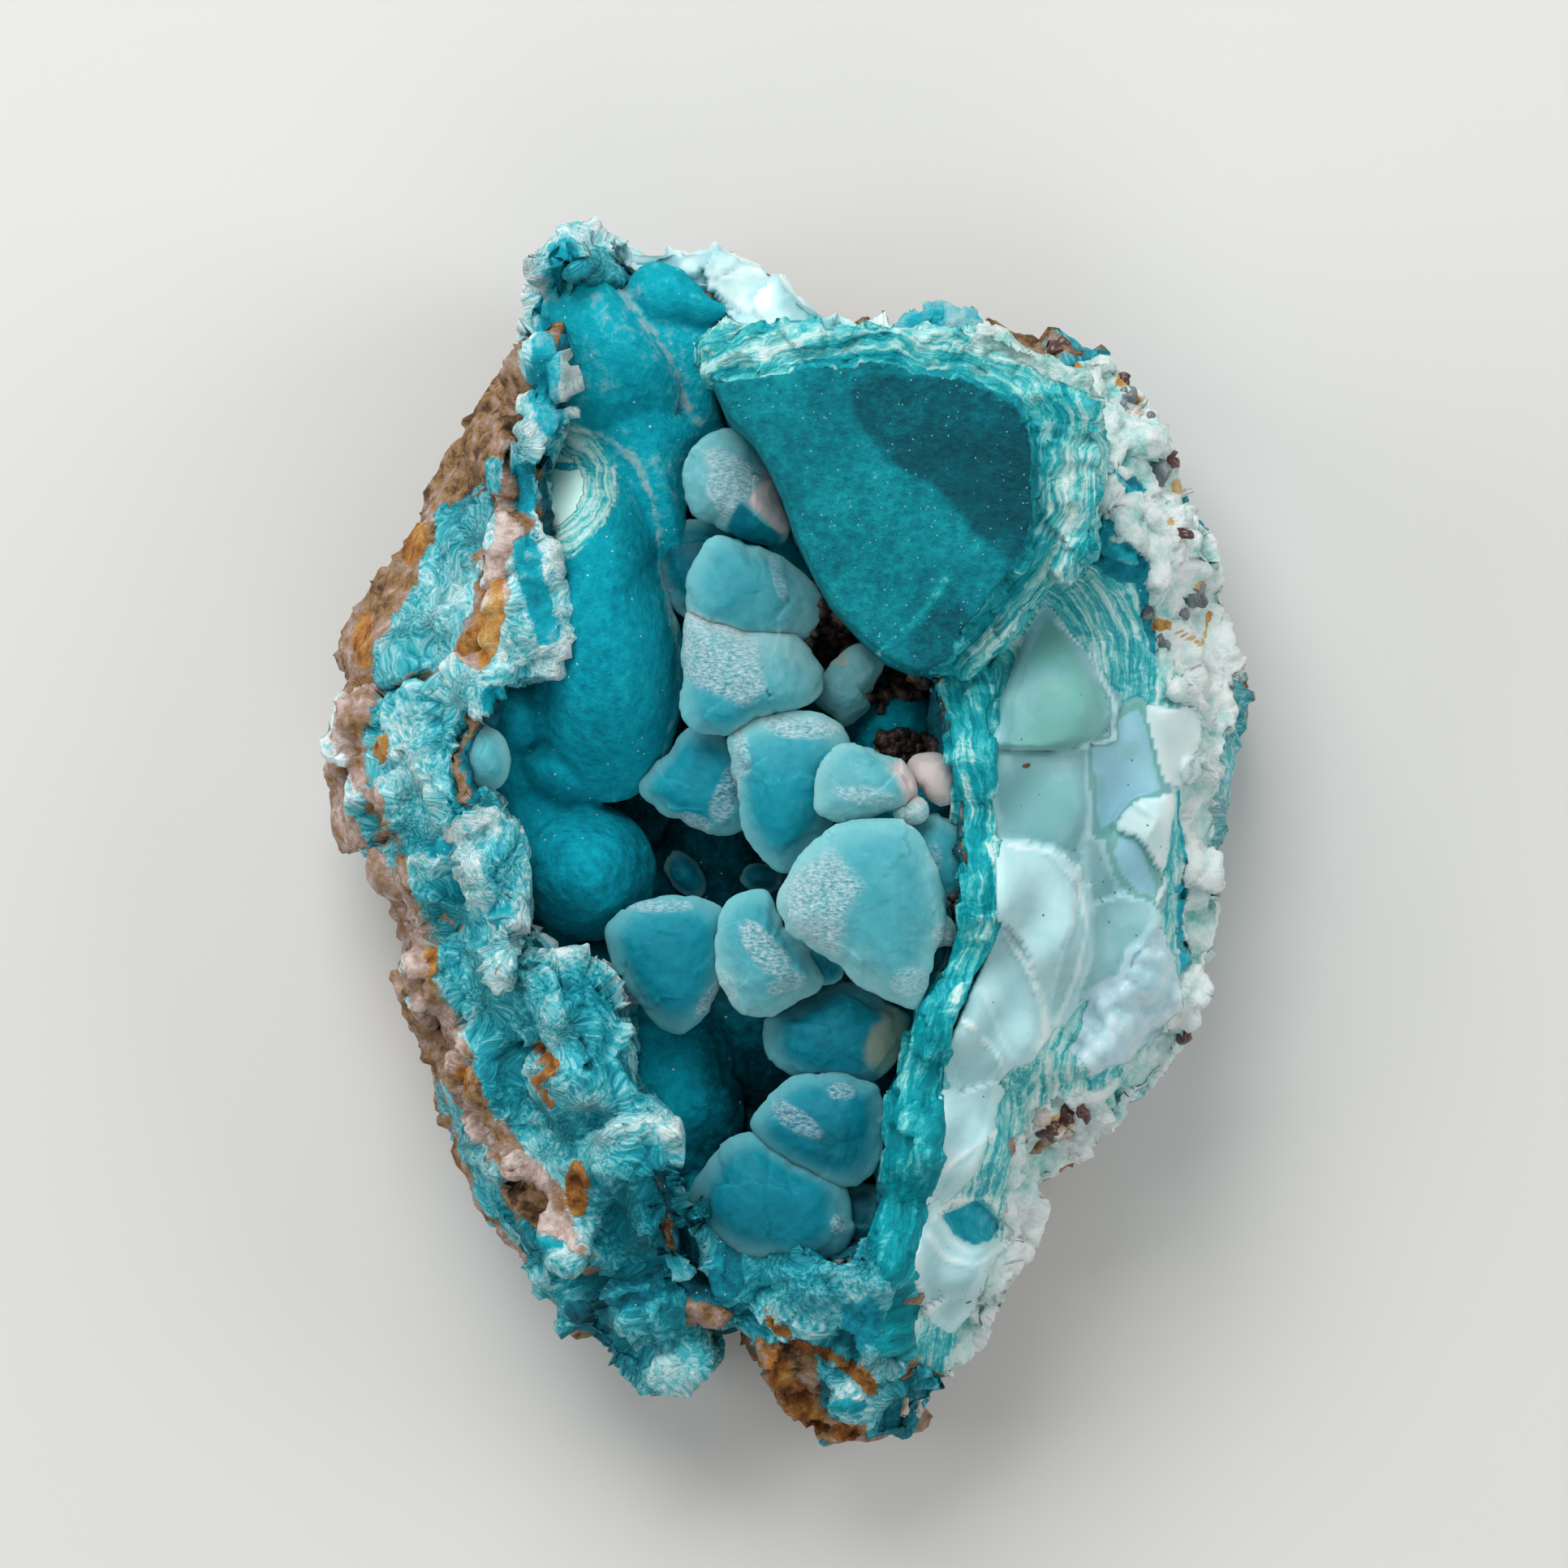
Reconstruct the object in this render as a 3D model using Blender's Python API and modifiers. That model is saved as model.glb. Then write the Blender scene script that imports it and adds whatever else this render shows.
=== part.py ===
"""Smithsonite with aurichalcite: pale blue curved crystals in a hollow of a teal mineral rind.

The specimen lies on its back with its broken face up. On that face +X is right and +Y is up, and +Z
points out of it. The origin is on the flat of the back, under the middle of the face.
Every form is modelled in millimetres, and a finished mesh is scaled to metres at the end.
"""

import math
import random

import bmesh
import bpy
from mathutils import Euler, Matrix, Vector, noise

MILLIMETRE = 0.001

SPECIMEN = "smithsonite_with_aurichalcite"
MATRIX = "matrix"
CRYSTALS = "smithsonite_crystals"

# Sizes of the two solids, in millimetres.
MATRIX_VOXEL = 0.75
MATRIX_TRIANGLES = 6600
CRYSTAL_VOXEL = 0.32
CRYSTAL_TRIANGLES = 2500
SOCKET_GAP = 0.75
SOCKET_TRIANGLES = 1300
BACK_HEIGHT = 0.0
HOLLOW_FLOOR = 9.5
BLOCK_FLOOR = 9.0
BLOCK_FACE_HEIGHT = 33.0
BLOCK_SHOULDER_DROP = 3.2
BLOCK_SLOPE_UP = 0.22
BLOCK_SLOPE_RIGHT = 0.05
BLOCK_MIDDLE = Vector((7.0, 21.0))

# The broken face seen from the front, anticlockwise from the upper peak.
OUTLINE = (
    (-13.2, 39.6), (-15.4, 36.5), (-16.5, 33.5), (-19.0, 29.3), (-20.8, 25.5), (-23.4, 21.0),
    (-27.0, 16.8), (-28.8, 12.5), (-29.4, 7.5), (-30.0, 4.0), (-28.2, -0.4), (-25.6, -4.4),
    (-24.9, -10.0), (-23.7, -14.5), (-22.0, -20.5), (-19.4, -25.0), (-15.0, -30.2), (-10.4, -34.4),
    (-6.0, -34.6), (-4.8, -32.8), (-2.0, -32.4), (-1.0, -35.4), (1.8, -39.0), (5.6, -40.0),
    (8.8, -39.2), (11.6, -33.8), (15.4, -27.6), (17.2, -22.6), (21.5, -18.9), (25.0, -15.6),
    (27.2, -11.0), (28.7, -5.0), (28.5, 2.0), (30.0, 9.8), (28.8, 15.2), (26.0, 22.6),
    (22.8, 29.4), (18.4, 32.4), (12.2, 33.4), (7.0, 32.4), (2.6, 33.2), (-1.4, 36.2),
    (-6.6, 37.2), (-10.0, 37.4),
)
# Height above the back, and the size of the outline there. What is below the back is cut off flat.
BODY_LEVELS = ((-2.5, 0.68), (0.0, 0.77), (3.0, 0.87), (8.0, 0.955), (13.0, 0.985), (17.0, 0.93), (20.0, 0.84))

# The mouth of the hollow, anticlockwise from the upper left.
HOLLOW = (
    (-13.0, 35.6), (-14.6, 30.0), (-15.4, 22.5), (-15.0, 15.0), (-18.0, 9.5), (-20.4, 5.0),
    (-19.2, 0.8), (-17.6, -5.0), (-15.0, -9.5), (-10.8, -14.5), (-9.2, -19.5), (-7.0, -24.5),
    (-6.4, -29.8), (-2.6, -31.0), (-3.2, -26.0), (1.0, -28.0), (5.9, -27.0), (7.6, -19.0),
    (9.2, -12.0), (11.6, -5.0), (11.2, 3.0), (9.8, 9.8), (3.8, 14.0), (-1.0, 23.0),
    (-4.2, 29.5), (-2.0, 33.0), (-6.0, 35.6),
)
HOLLOW_LEVELS = ((HOLLOW_FLOOR, 0.82), (12.5, 0.93), (19.0, 1.0), (45.0, 1.03))

# The block that stands proud at the upper right: its velvet face, and its whole footprint.
BLOCK_FACE = (
    (-3.9, 28.2), (-3.0, 26.4), (-0.6, 22.6), (2.0, 17.0), (4.7, 12.6), (7.9, 10.0),
    (10.0, 10.2), (13.2, 15.2), (15.9, 20.6), (15.5, 26.2), (11.8, 29.0), (6.9, 30.4), (1.9, 30.1),
)
BLOCK_BODY = (
    (-4.6, 29.6), (-3.2, 26.6), (-0.8, 22.8), (1.8, 17.0), (4.5, 12.3), (7.8, 9.4),
    (11.8, 9.4), (16.4, 15.2), (19.8, 17.8), (20.2, 24.6), (19.2, 29.0), (13.2, 31.9),
    (5.0, 32.0), (-1.6, 32.0),
)

# Ridges of broken crust: middle of the ridge, and its half width.
RIDGES = {
    "left rim": (
        (-12.9, 36.6, 20.5, 2.6), (-14.9, 31.5, 21.5, 3.4), (-16.4, 25.5, 21.8, 3.8),
        (-17.4, 19.0, 21.2, 3.8), (-19.4, 13.0, 20.4, 4.2), (-22.0, 7.0, 19.8, 4.8),
        (-21.6, 1.0, 20.6, 4.8), (-19.9, -4.0, 21.4, 4.6), (-18.8, -9.5, 21.0, 4.8),
        (-15.8, -14.0, 20.8, 4.8), (-13.4, -18.5, 20.2, 4.6), (-11.2, -22.8, 18.8, 4.4),
        (-10.8, -27.0, 15.2, 4.6), (-9.4, -31.0, 11.6, 4.0),
    ),
    "left flank": (
        (-17.6, 30.0, 15.0, 3.4), (-20.6, 22.5, 14.0, 4.2), (-24.6, 15.5, 13.2, 4.0),
        (-25.8, 8.5, 13.0, 4.0), (-25.2, 3.0, 13.2, 4.2), (-22.4, -5.0, 14.2, 4.2),
        (-20.8, -12.0, 14.0, 4.2), (-18.8, -19.0, 12.8, 4.2), (-15.0, -25.5, 11.6, 4.0),
    ),
    "upper rim": (
        (-11.6, 35.4, 15.5, 2.8), (-6.4, 35.2, 15.4, 2.4), (-1.4, 33.2, 16.4, 2.6),
        (4.0, 30.8, 17.4, 2.2), (11.0, 31.6, 15.6, 2.4),
    ),
    "right shoulder": (
        (18.8, 24.6, 21.6, 3.6), (18.2, 17.2, 20.8, 4.4), (17.6, 9.0, 19.8, 4.9),
        (17.6, 1.0, 19.6, 4.9), (17.0, -7.0, 19.4, 4.9), (14.4, -14.0, 18.8, 4.6),
        (12.4, -20.5, 17.8, 4.2), (10.8, -27.0, 15.2, 4.0),
    ),
    "outer crust": (
        (19.6, 28.4, 14.0, 3.6), (22.6, 22.0, 14.2, 4.0), (24.6, 15.0, 13.8, 4.0),
        (25.2, 8.5, 13.6, 4.2), (24.2, 1.5, 14.0, 4.2), (23.8, -6.0, 13.4, 4.2),
        (21.2, -13.0, 12.8, 4.2),
    ),
    "lower tip": (
        (-0.8, -29.6, 14.0, 3.6), (3.4, -29.4, 16.0, 3.8), (7.0, -30.0, 15.6, 3.8),
        (3.4, -34.0, 11.6, 3.8), (6.4, -36.0, 10.4, 3.4),
    ),
}
RIDGE_SPACING = 0.55

# The banded wall on the right of the hollow: place and height of its crest.
RIBBON = (
    (10.4, 9.4, 27.4), (11.8, 4.4, 27.6), (12.9, -1.2, 27.4), (12.7, -6.0, 27.0),
    (10.6, -11.2, 26.0), (9.6, -17.0, 24.8), (8.8, -22.5, 23.2), (7.4, -28.5, 20.6),
)
RIBBON_THICKNESS = 2.7
RIBBON_FLOOR = 9.0

# Rounded lobes that line the hollow: middle and half sizes.
LOBES = (
    ((-12.4, 31.6, 15.5), (3.2, 5.4, 8.2)),
    ((-9.6, 26.6, 13.4), (4.6, 6.8, 7.6)),
    ((-11.9, 15.6, 15.0), (5.2, 12.0, 9.6)),
    ((-11.4, 7.6, 16.6), (5.1, 5.2, 8.6)),
    ((-6.6, 30.6, 11.4), (3.8, 5.0, 6.2)),
    ((-5.6, 17.2, 11.0), (2.4, 3.8, 6.0)),
    ((-13.4, -2.2, 15.6), (5.1, 5.0, 7.0)),
    ((-17.2, 7.4, 16.8), (2.9, 3.2, 5.6)),
    ((-18.0, 4.2, 15.8), (2.9, 2.8, 5.6)),
    ((-16.2, 2.2, 13.6), (4.0, 3.0, 5.6)),
    ((-15.8, -7.6, 14.0), (3.2, 2.8, 5.6)),
    ((-12.4, -8.6, 13.0), (3.2, 2.8, 5.4)),
    ((-8.2, -12.8, 11.0), (4.6, 5.4, 5.6)),
    ((-6.9, -19.4, 10.6), (4.4, 4.4, 5.2)),
    ((-5.4, -25.6, 11.2), (2.6, 4.0, 5.6)),
    ((-3.9, -30.0, 9.0), (2.4, 2.8, 6.0)),
)

# Conchoidal facets of the mint zone: middle, half sizes, lean about +X and about +Y in degrees.
FACETS = (
    ((17.6, 10.6, 24.0), (3.6, 4.4, 1.7), -8, 10),
    ((16.9, 2.4, 23.8), (3.2, 4.0, 1.6), 6, 12),
    ((16.9, -4.6, 23.4), (3.4, 4.8, 1.7), 10, 10),
    ((15.6, -12.2, 22.8), (2.8, 4.2, 1.6), 12, 8),
    ((13.4, -18.6, 21.2), (2.4, 4.2, 1.6), 14, 8),
    ((22.0, 8.0, 20.6), (2.8, 5.0, 1.8), 0, 28),
    ((22.2, -3.4, 20.2), (2.8, 5.4, 1.8), 4, 26),
    ((12.4, -28.6, 18.0), (2.2, 3.6, 1.5), 16, 12),
)

# Pits broken into the crust: the scoop at the lower right, one at the lower left, one in the flank.
PITS = (
    ((12.0, -25.2, 21.5), (2.2, 2.3, 3.2)),
    ((-13.6, -30.6, 17.0), (2.0, 1.3, 3.2)),
    ((-22.2, 13.0, 21.6), (1.3, 2.2, 3.0)),
)

# Broken fibrous knob at the foot of the hollow, under the lowest crystal: middle and half sizes.
FOOT_KNOB = ((0.8, -27.2, 14.6), (5.2, 3.8, 5.6))

# Crystals: the corners of the face that shows, from the top left on clockwise, the height of the
# face's middle, its thickness, and the rise of the face towards +X and +Y.
CRYSTAL_FACES = (
    ((-5.9, 25.7), (-1.4, 26.0), (0.9, 18.8), (-6.3, 19.8), 22.6, 6.4, 0.10, 0.05),
    ((-3.4, 20.4), (1.0, 19.8), (-1.0, 18.0), (-3.4, 18.4), 19.4, 3.2, 0.0, 0.0),
    ((-5.0, 19.6), (3.0, 15.3), (0.9, 11.6), (-6.4, 13.6), 23.4, 7.0, 0.0, 0.25),
    ((-6.3, 14.2), (3.2, 10.6), (1.8, 8.0), (-6.9, 6.5), 24.2, 7.2, 0.05, -0.15),
    ((5.2, 12.8), (7.0, 11.2), (4.3, 6.4), (2.3, 9.0), 20.6, 5.0, -0.1, 0.1),
    ((-6.4, 7.6), (-2.0, 6.5), (-1.8, -0.6), (-9.8, 2.8), 20.2, 5.8, 0.15, 0.15),
    ((-3.9, 7.6), (4.6, 8.2), (4.5, 0.6), (-0.2, -3.2), 24.6, 7.6, 0.0, 0.10),
    ((3.2, 6.4), (8.6, 4.5), (7.9, 1.4), (2.0, 1.0), 27.0, 5.0, 0.10, 0.0),
    ((-0.8, -4.4), (5.6, 1.9), (11.0, -3.0), (8.8, -11.9), 28.0, 9.0, 0.05, 0.12),
    ((8.6, 1.6), (11.2, 1.2), (11.6, -3.2), (10.2, -5.2), 24.8, 5.6, 0.0, 0.0),
    ((-11.6, -4.8), (-3.6, -3.9), (-3.8, -9.4), (-6.8, -13.7), 21.6, 7.0, 0.05, 0.16),
    ((-4.5, -4.4), (-0.3, -2.8), (3.4, -9.4), (-2.4, -12.7), 23.4, 7.0, 0.0, 0.12),
    ((0.8, -6.8), (4.2, -8.0), (4.4, -9.6), (2.0, -10.2), 21.0, 4.0, 0.0, 0.0),
    ((-1.2, -11.0), (5.2, -9.0), (8.7, -14.2), (-0.1, -16.4), 20.2, 6.6, 0.0, 0.12),
    ((-1.3, -15.6), (6.7, -15.4), (6.5, -23.4), (-2.6, -19.4), 20.4, 7.0, 0.0, 0.12),
    ((-6.6, -23.7), (-2.5, -18.7), (4.8, -23.7), (4.0, -27.8), 20.4, 6.6, 0.0, 0.22),
)
CRYSTAL_CUTS = 5
CRYSTAL_ROUNDING = 3.3
CRYSTAL_BACK = 0.66
CRYSTAL_SPREAD = 1.20

# The crust that the crystals grow from, buried in the floor of the hollow: middle and half width.
CRYSTAL_BED = (
    (-3.0, 22.0, 13.4, 2.6), (-2.2, 16.5, 14.0, 3.2), (-2.0, 10.0, 14.4, 3.4),
    (-1.4, 4.0, 15.2, 3.4), (3.8, 2.2, 17.4, 3.2), (4.6, -4.0, 17.8, 3.4),
    (-0.4, -7.4, 16.0, 3.0), (3.4, -12.6, 14.4, 2.8), (2.4, -18.6, 14.0, 3.0),
    (0.4, -23.6, 14.2, 3.0),
)
BED_BRANCHES = (
    ((-1.4, 4.0, 15.2, 3.0), (-5.4, 3.6, 14.8, 2.8)),
    ((3.4, 9.4, 15.6, 2.4), (-2.0, 10.0, 14.4, 2.8)),
    ((-0.4, -7.4, 16.0, 2.8), (-6.6, -7.4, 15.4, 3.0)),
    ((4.6, -4.0, 17.8, 3.0), (9.2, -1.8, 19.6, 2.4)),
)
BED_SPACING = 0.5

# Weathering: height and width of the bumps, outside the hollow and on its smooth lining.
BROKEN_BUMPS = ((0.85, 7.0), (0.50, 3.0))
LINING_BUMPS = ((0.25, 6.0), (0.10, 2.5))
BUMP_FADE = 1.6


def clear_scene():
    """Remove every object that the file opened with."""
    for thing in list(bpy.data.objects):
        bpy.data.objects.remove(thing)


def make_collection(name):
    """A new collection linked to the scene."""
    collection = bpy.data.collections.new(name)
    bpy.context.scene.collection.children.link(collection)
    return collection


def make_material(name, colour, roughness, metallic):
    """A Principled material with one colour."""
    material = bpy.data.materials.new(name)
    material.use_nodes = True
    shader = material.node_tree.nodes["Principled BSDF"]
    shader.inputs["Base Color"].default_value = (*colour, 1.0)
    shader.inputs["Roughness"].default_value = roughness
    shader.inputs["Metallic"].default_value = metallic
    material.diffuse_color = (*colour, 1.0)
    return material


def add_slab(form, outline, levels):
    """A closed slab that follows an outline, drawn at each level at its own size."""
    first_height, first_size = levels[0]
    corners = [form.verts.new((x * first_size, y * first_size, first_height)) for x, y in outline]
    bottom = cap = form.faces.new(corners)
    size = first_size
    for height, next_size in levels[1:]:
        grown = bmesh.ops.extrude_face_region(form, geom=[cap])
        if cap is not bottom:
            bmesh.ops.delete(form, geom=[cap], context="FACES_ONLY")
        cap = next(part for part in grown["geom"] if isinstance(part, bmesh.types.BMFace))
        for corner in cap.verts:
            corner.co.x *= next_size / size
            corner.co.y *= next_size / size
            corner.co.z = height
        size = next_size
    return cap


def add_lump(form, middle, radii, turn=(0.0, 0.0, 0.0), detail=3):
    """A rounded lump: a ball stretched to its three half sizes and turned."""
    place = Matrix.Translation(middle) @ Euler(turn).to_matrix().to_4x4()
    bmesh.ops.create_icosphere(
        form, subdivisions=detail, radius=1.0, matrix=place @ Matrix.Diagonal((*radii, 1.0))
    )


def add_chunk(form, middle, size, turn=(0.0, 0.0, 0.0)):
    """A squared chunk with its three full sizes, turned."""
    place = Matrix.Translation(middle) @ Euler(turn).to_matrix().to_4x4()
    bmesh.ops.create_cube(form, size=1.0, matrix=place @ Matrix.Diagonal((*size, 1.0)))


def walk(path, spacing):
    """Points along a path, each a fraction of its own half width after the last."""
    for start, end in zip(path, path[1:]):
        first, last = Vector(start), Vector(end)
        length = (last.xyz - first.xyz).length
        steps = max(1, math.ceil(length / (spacing * min(start[3], end[3]))))
        for step in range(steps):
            yield first.lerp(last, step / steps)
    yield Vector(path[-1])


def add_ridge(form, path, seed):
    """A ridge of broken crust: turned chunks and lumps strung along a path."""
    chance = random.Random(seed)
    for point in walk(path, RIDGE_SPACING):
        width = point.w
        turn = [chance.uniform(-0.6, 0.6) for _ in range(3)]
        size = [width * chance.uniform(1.35, 1.75) for _ in range(3)]
        add_chunk(form, point.xyz, size, turn)
        add_lump(form, point.xyz, [width * chance.uniform(0.85, 1.02) for _ in range(3)], turn, 2)


def add_block(form):
    """The block that stands proud: a footprint, and the velvet face raised above its shoulders."""
    for outline, drop, size in ((BLOCK_BODY, BLOCK_SHOULDER_DROP, 1.0), (BLOCK_FACE, 0.0, 1.0)):
        levels = ((BLOCK_FLOOR, size), (BLOCK_FACE_HEIGHT, size))
        top = add_slab(form, outline, levels)
        for corner in top.verts:
            rise = BLOCK_SLOPE_RIGHT * (corner.co.x - BLOCK_MIDDLE.x)
            rise += BLOCK_SLOPE_UP * (corner.co.y - BLOCK_MIDDLE.y)
            corner.co.z = BLOCK_FACE_HEIGHT + rise - drop


def add_ribbon(form):
    """The banded wall: a row of overlapping upright chunks along its crest."""
    path = [(x, y, crest, RIBBON_THICKNESS) for x, y, crest in RIBBON]
    points = list(walk(path, 0.4))
    for here, ahead in zip(points, points[1:]):
        heading = math.atan2(ahead.y - here.y, ahead.x - here.x)
        height = here.z - RIBBON_FLOOR
        middle = (here.x, here.y, RIBBON_FLOOR + height / 2.0)
        add_chunk(form, middle, (RIBBON_THICKNESS, RIBBON_THICKNESS, height), (0.0, 0.0, heading))


def add_facets(form):
    """The shallow shells of the mint fracture zone."""
    for middle, radii, lean_x, lean_y in FACETS:
        add_lump(form, middle, radii, (math.radians(lean_x), math.radians(lean_y), 0.0))


def add_crystal(form, face, spread):
    """A curved rhomb: a cube whose eight corners are moved to the crystal's, with rounded faces."""
    corners, (height, thickness, rise_x, rise_y) = face[:4], face[4:]
    middle = sum((Vector(corner) for corner in corners), Vector((0.0, 0.0))) / 4.0
    top_left, top_right, bottom_right, bottom_left = [Vector(corner) - middle for corner in corners]
    width = max((top_right - top_left).length, (bottom_right - top_right).length)
    scale = CRYSTAL_SPREAD + 2.0 * spread / width
    vertices_before = len(form.verts)
    edges_before = len(form.edges)
    bmesh.ops.create_cube(form, size=2.0)
    form.edges.ensure_lookup_table()
    edges = form.edges[edges_before:]
    bmesh.ops.subdivide_edges(form, edges=edges, cuts=CRYSTAL_CUTS, use_grid_fill=True)
    form.verts.ensure_lookup_table()
    for vert in form.verts[vertices_before:]:
        across, up, out = round_off(vert.co)
        left = bottom_left.lerp(top_left, (up + 1.0) / 2.0)
        right = bottom_right.lerp(top_right, (up + 1.0) / 2.0)
        shrink = CRYSTAL_BACK + (1.0 - CRYSTAL_BACK) * (out + 1.0) / 2.0
        place = middle + left.lerp(right, (across + 1.0) / 2.0) * shrink * scale
        face_height = height + rise_x * (place.x - middle.x) + rise_y * (place.y - middle.y)
        half = thickness / 2.0 + spread
        vert.co = (place.x, place.y, face_height - thickness / 2.0 + out * half)


def round_off(corner):
    """Pull a point of a cube in towards a rounded cube."""
    reach = max(abs(value) for value in corner)
    length = sum(abs(value) ** CRYSTAL_ROUNDING for value in corner) ** (1.0 / CRYSTAL_ROUNDING)
    return corner * (reach / length)


def add_crystals(form, spread):
    """Every crystal with the bed that joins them, all grown by a spread."""
    for face in CRYSTAL_FACES:
        add_crystal(form, face, spread)
        x = sum(corner[0] for corner in face[:4]) / 4.0
        y = sum(corner[1] for corner in face[:4]) / 4.0
        root_height = face[4] - face[5] / 2.0 - 2.4
        radius = face[5] * 0.3 + spread
        add_lump(form, (x, y, root_height), (radius, radius, 4.0 + spread))
    for path in (CRYSTAL_BED, *BED_BRANCHES):
        for point in walk(path, BED_SPACING):
            add_lump(form, point.xyz, [point.w * 0.8 + spread] * 3, detail=2)


def mesh_object(name, form, collection):
    """An object made from a bmesh, with its faces pointing outwards."""
    bmesh.ops.recalc_face_normals(form, faces=form.faces)
    mesh = bpy.data.meshes.new(name)
    form.to_mesh(mesh)
    form.free()
    thing = bpy.data.objects.new(name, mesh)
    collection.objects.link(thing)
    return thing


def apply_modifiers(thing):
    """Replace an object's mesh by the one that its modifiers make."""
    bpy.context.view_layer.update()
    evaluated = thing.evaluated_get(bpy.context.evaluated_depsgraph_get())
    mesh = bpy.data.meshes.new_from_object(evaluated)
    thing.modifiers.clear()
    thing.data = mesh


def fuse(thing, voxel):
    """Join everything in an object into one skin."""
    remesh = thing.modifiers.new("Fuse", "REMESH")
    remesh.mode = "VOXEL"
    remesh.voxel_size = voxel
    apply_modifiers(thing)
    keep_largest_body(thing)


def thin_out(thing, triangles):
    """Reduce an object to about a number of triangles."""
    thing.data.calc_loop_triangles()
    decimate = thing.modifiers.new("Thin out", "DECIMATE")
    decimate.ratio = min(1.0, triangles / len(thing.data.loop_triangles))
    decimate.use_collapse_triangulate = True
    apply_modifiers(thing)


def keep_largest_body(thing):
    """Drop the skins of sealed pockets and loose crumbs, and keep the body with the most corners."""
    form = bmesh.new()
    form.from_mesh(thing.data)
    waiting = set(form.verts)
    bodies = []
    while waiting:
        body, edge_of_body = set(), [waiting.pop()]
        while edge_of_body:
            vert = edge_of_body.pop()
            body.add(vert)
            for edge in vert.link_edges:
                other = edge.other_vert(vert)
                if other in waiting:
                    waiting.discard(other)
                    edge_of_body.append(other)
        bodies.append(body)
    largest = max(bodies, key=len)
    loose = [vert for body in bodies if body is not largest for vert in body]
    bmesh.ops.delete(form, geom=loose, context="VERTS")
    form.to_mesh(thing.data)
    form.free()


def inside_hollow(x, y):
    """How far inside the hollow's mouth a place is, from 0 outside to 1 well inside."""
    point = Vector((x, y))
    crossings = 0
    nearest = math.inf
    for first, second in zip(HOLLOW, HOLLOW[1:] + HOLLOW[:1]):
        start, end = Vector(first), Vector(second)
        side = end - start
        share = max(0.0, min(1.0, (point - start).dot(side) / side.length_squared))
        nearest = min(nearest, (point - start - side * share).length)
        if (start.y > y) != (end.y > y) and x < start.x + side.x * (y - start.y) / side.y:
            crossings += 1
    return min(1.0, nearest / BUMP_FADE) if crossings % 2 else 0.0


def weather(thing):
    """Push the skin in and out, more on broken crust than on the smooth lining."""
    form = bmesh.new()
    form.from_mesh(thing.data)
    form.normal_update()
    moves = []
    for vert in form.verts:
        lining = inside_hollow(vert.co.x, vert.co.y)
        push = 0.0
        for (broken_height, broken_width), (lining_height, lining_width) in zip(BROKEN_BUMPS, LINING_BUMPS):
            broken = broken_height * noise.noise(vert.co / broken_width)
            smooth = lining_height * noise.noise(vert.co / lining_width)
            push += broken * (1.0 - lining) + smooth * lining
        moves.append(vert.normal * push)
    for vert, move in zip(form.verts, moves):
        vert.co += move
    form.to_mesh(thing.data)
    form.free()


def cut_flat(thing, height):
    """Cut an object off flat at a height and close the cut."""
    form = bmesh.new()
    form.from_mesh(thing.data)
    everything = [*form.verts, *form.edges, *form.faces]
    cut = bmesh.ops.bisect_plane(
        form, geom=everything, plane_co=(0.0, 0.0, height), plane_no=(0.0, 0.0, 1.0), clear_inner=True
    )
    edges = [part for part in cut["geom_cut"] if isinstance(part, bmesh.types.BMEdge)]
    filled = bmesh.ops.holes_fill(form, edges=edges)
    bmesh.ops.triangulate(form, faces=filled["faces"])
    bmesh.ops.recalc_face_normals(form, faces=form.faces)
    form.to_mesh(thing.data)
    form.free()


def subtract(thing, cutter):
    """Cut one object out of another and remove the cutter."""
    boolean = thing.modifiers.new("Cut", "BOOLEAN")
    boolean.operation = "DIFFERENCE"
    boolean.solver = "EXACT"
    boolean.object = cutter
    apply_modifiers(thing)
    bpy.data.objects.remove(cutter)
    keep_largest_body(thing)


def finish(thing, material):
    """Scale a finished mesh to metres and give it its material."""
    thing.data.transform(Matrix.Scale(MILLIMETRE, 4))
    thing.data.materials.clear()
    thing.data.materials.append(material)


def build_crystals(name, collection, spread, triangles):
    """The joined crust of crystals, grown by a spread."""
    form = bmesh.new()
    add_crystals(form, spread)
    crystals = mesh_object(name, form, collection)
    fuse(crystals, CRYSTAL_VOXEL)
    thin_out(crystals, triangles)
    return crystals


def build_matrix(collection, cutters):
    """The host rock with its crusts, lobes and block, and a socket for the crystals."""
    form = bmesh.new()
    add_slab(form, OUTLINE, BODY_LEVELS)
    for seed, path in enumerate(RIDGES.values()):
        add_ridge(form, path, seed)
    matrix = mesh_object(MATRIX, form, collection)
    fuse(matrix, MATRIX_VOXEL)

    form = bmesh.new()
    add_slab(form, HOLLOW, HOLLOW_LEVELS)
    subtract(matrix, mesh_object("hollow", form, cutters))

    form = bmesh.new()
    form.from_mesh(matrix.data)
    for middle, radii in (*LOBES, FOOT_KNOB):
        add_lump(form, middle, radii)
    add_block(form)
    add_ribbon(form)
    add_facets(form)
    bpy.data.objects.remove(matrix)
    matrix = mesh_object(MATRIX, form, collection)
    fuse(matrix, MATRIX_VOXEL)

    form = bmesh.new()
    for middle, radii in PITS:
        add_lump(form, middle, radii)
    subtract(matrix, mesh_object("pits", form, cutters))
    fuse(matrix, MATRIX_VOXEL)
    weather(matrix)
    thin_out(matrix, MATRIX_TRIANGLES)
    subtract(matrix, build_crystals("socket", cutters, SOCKET_GAP, SOCKET_TRIANGLES))
    cut_flat(matrix, BACK_HEIGHT)
    return matrix


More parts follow.
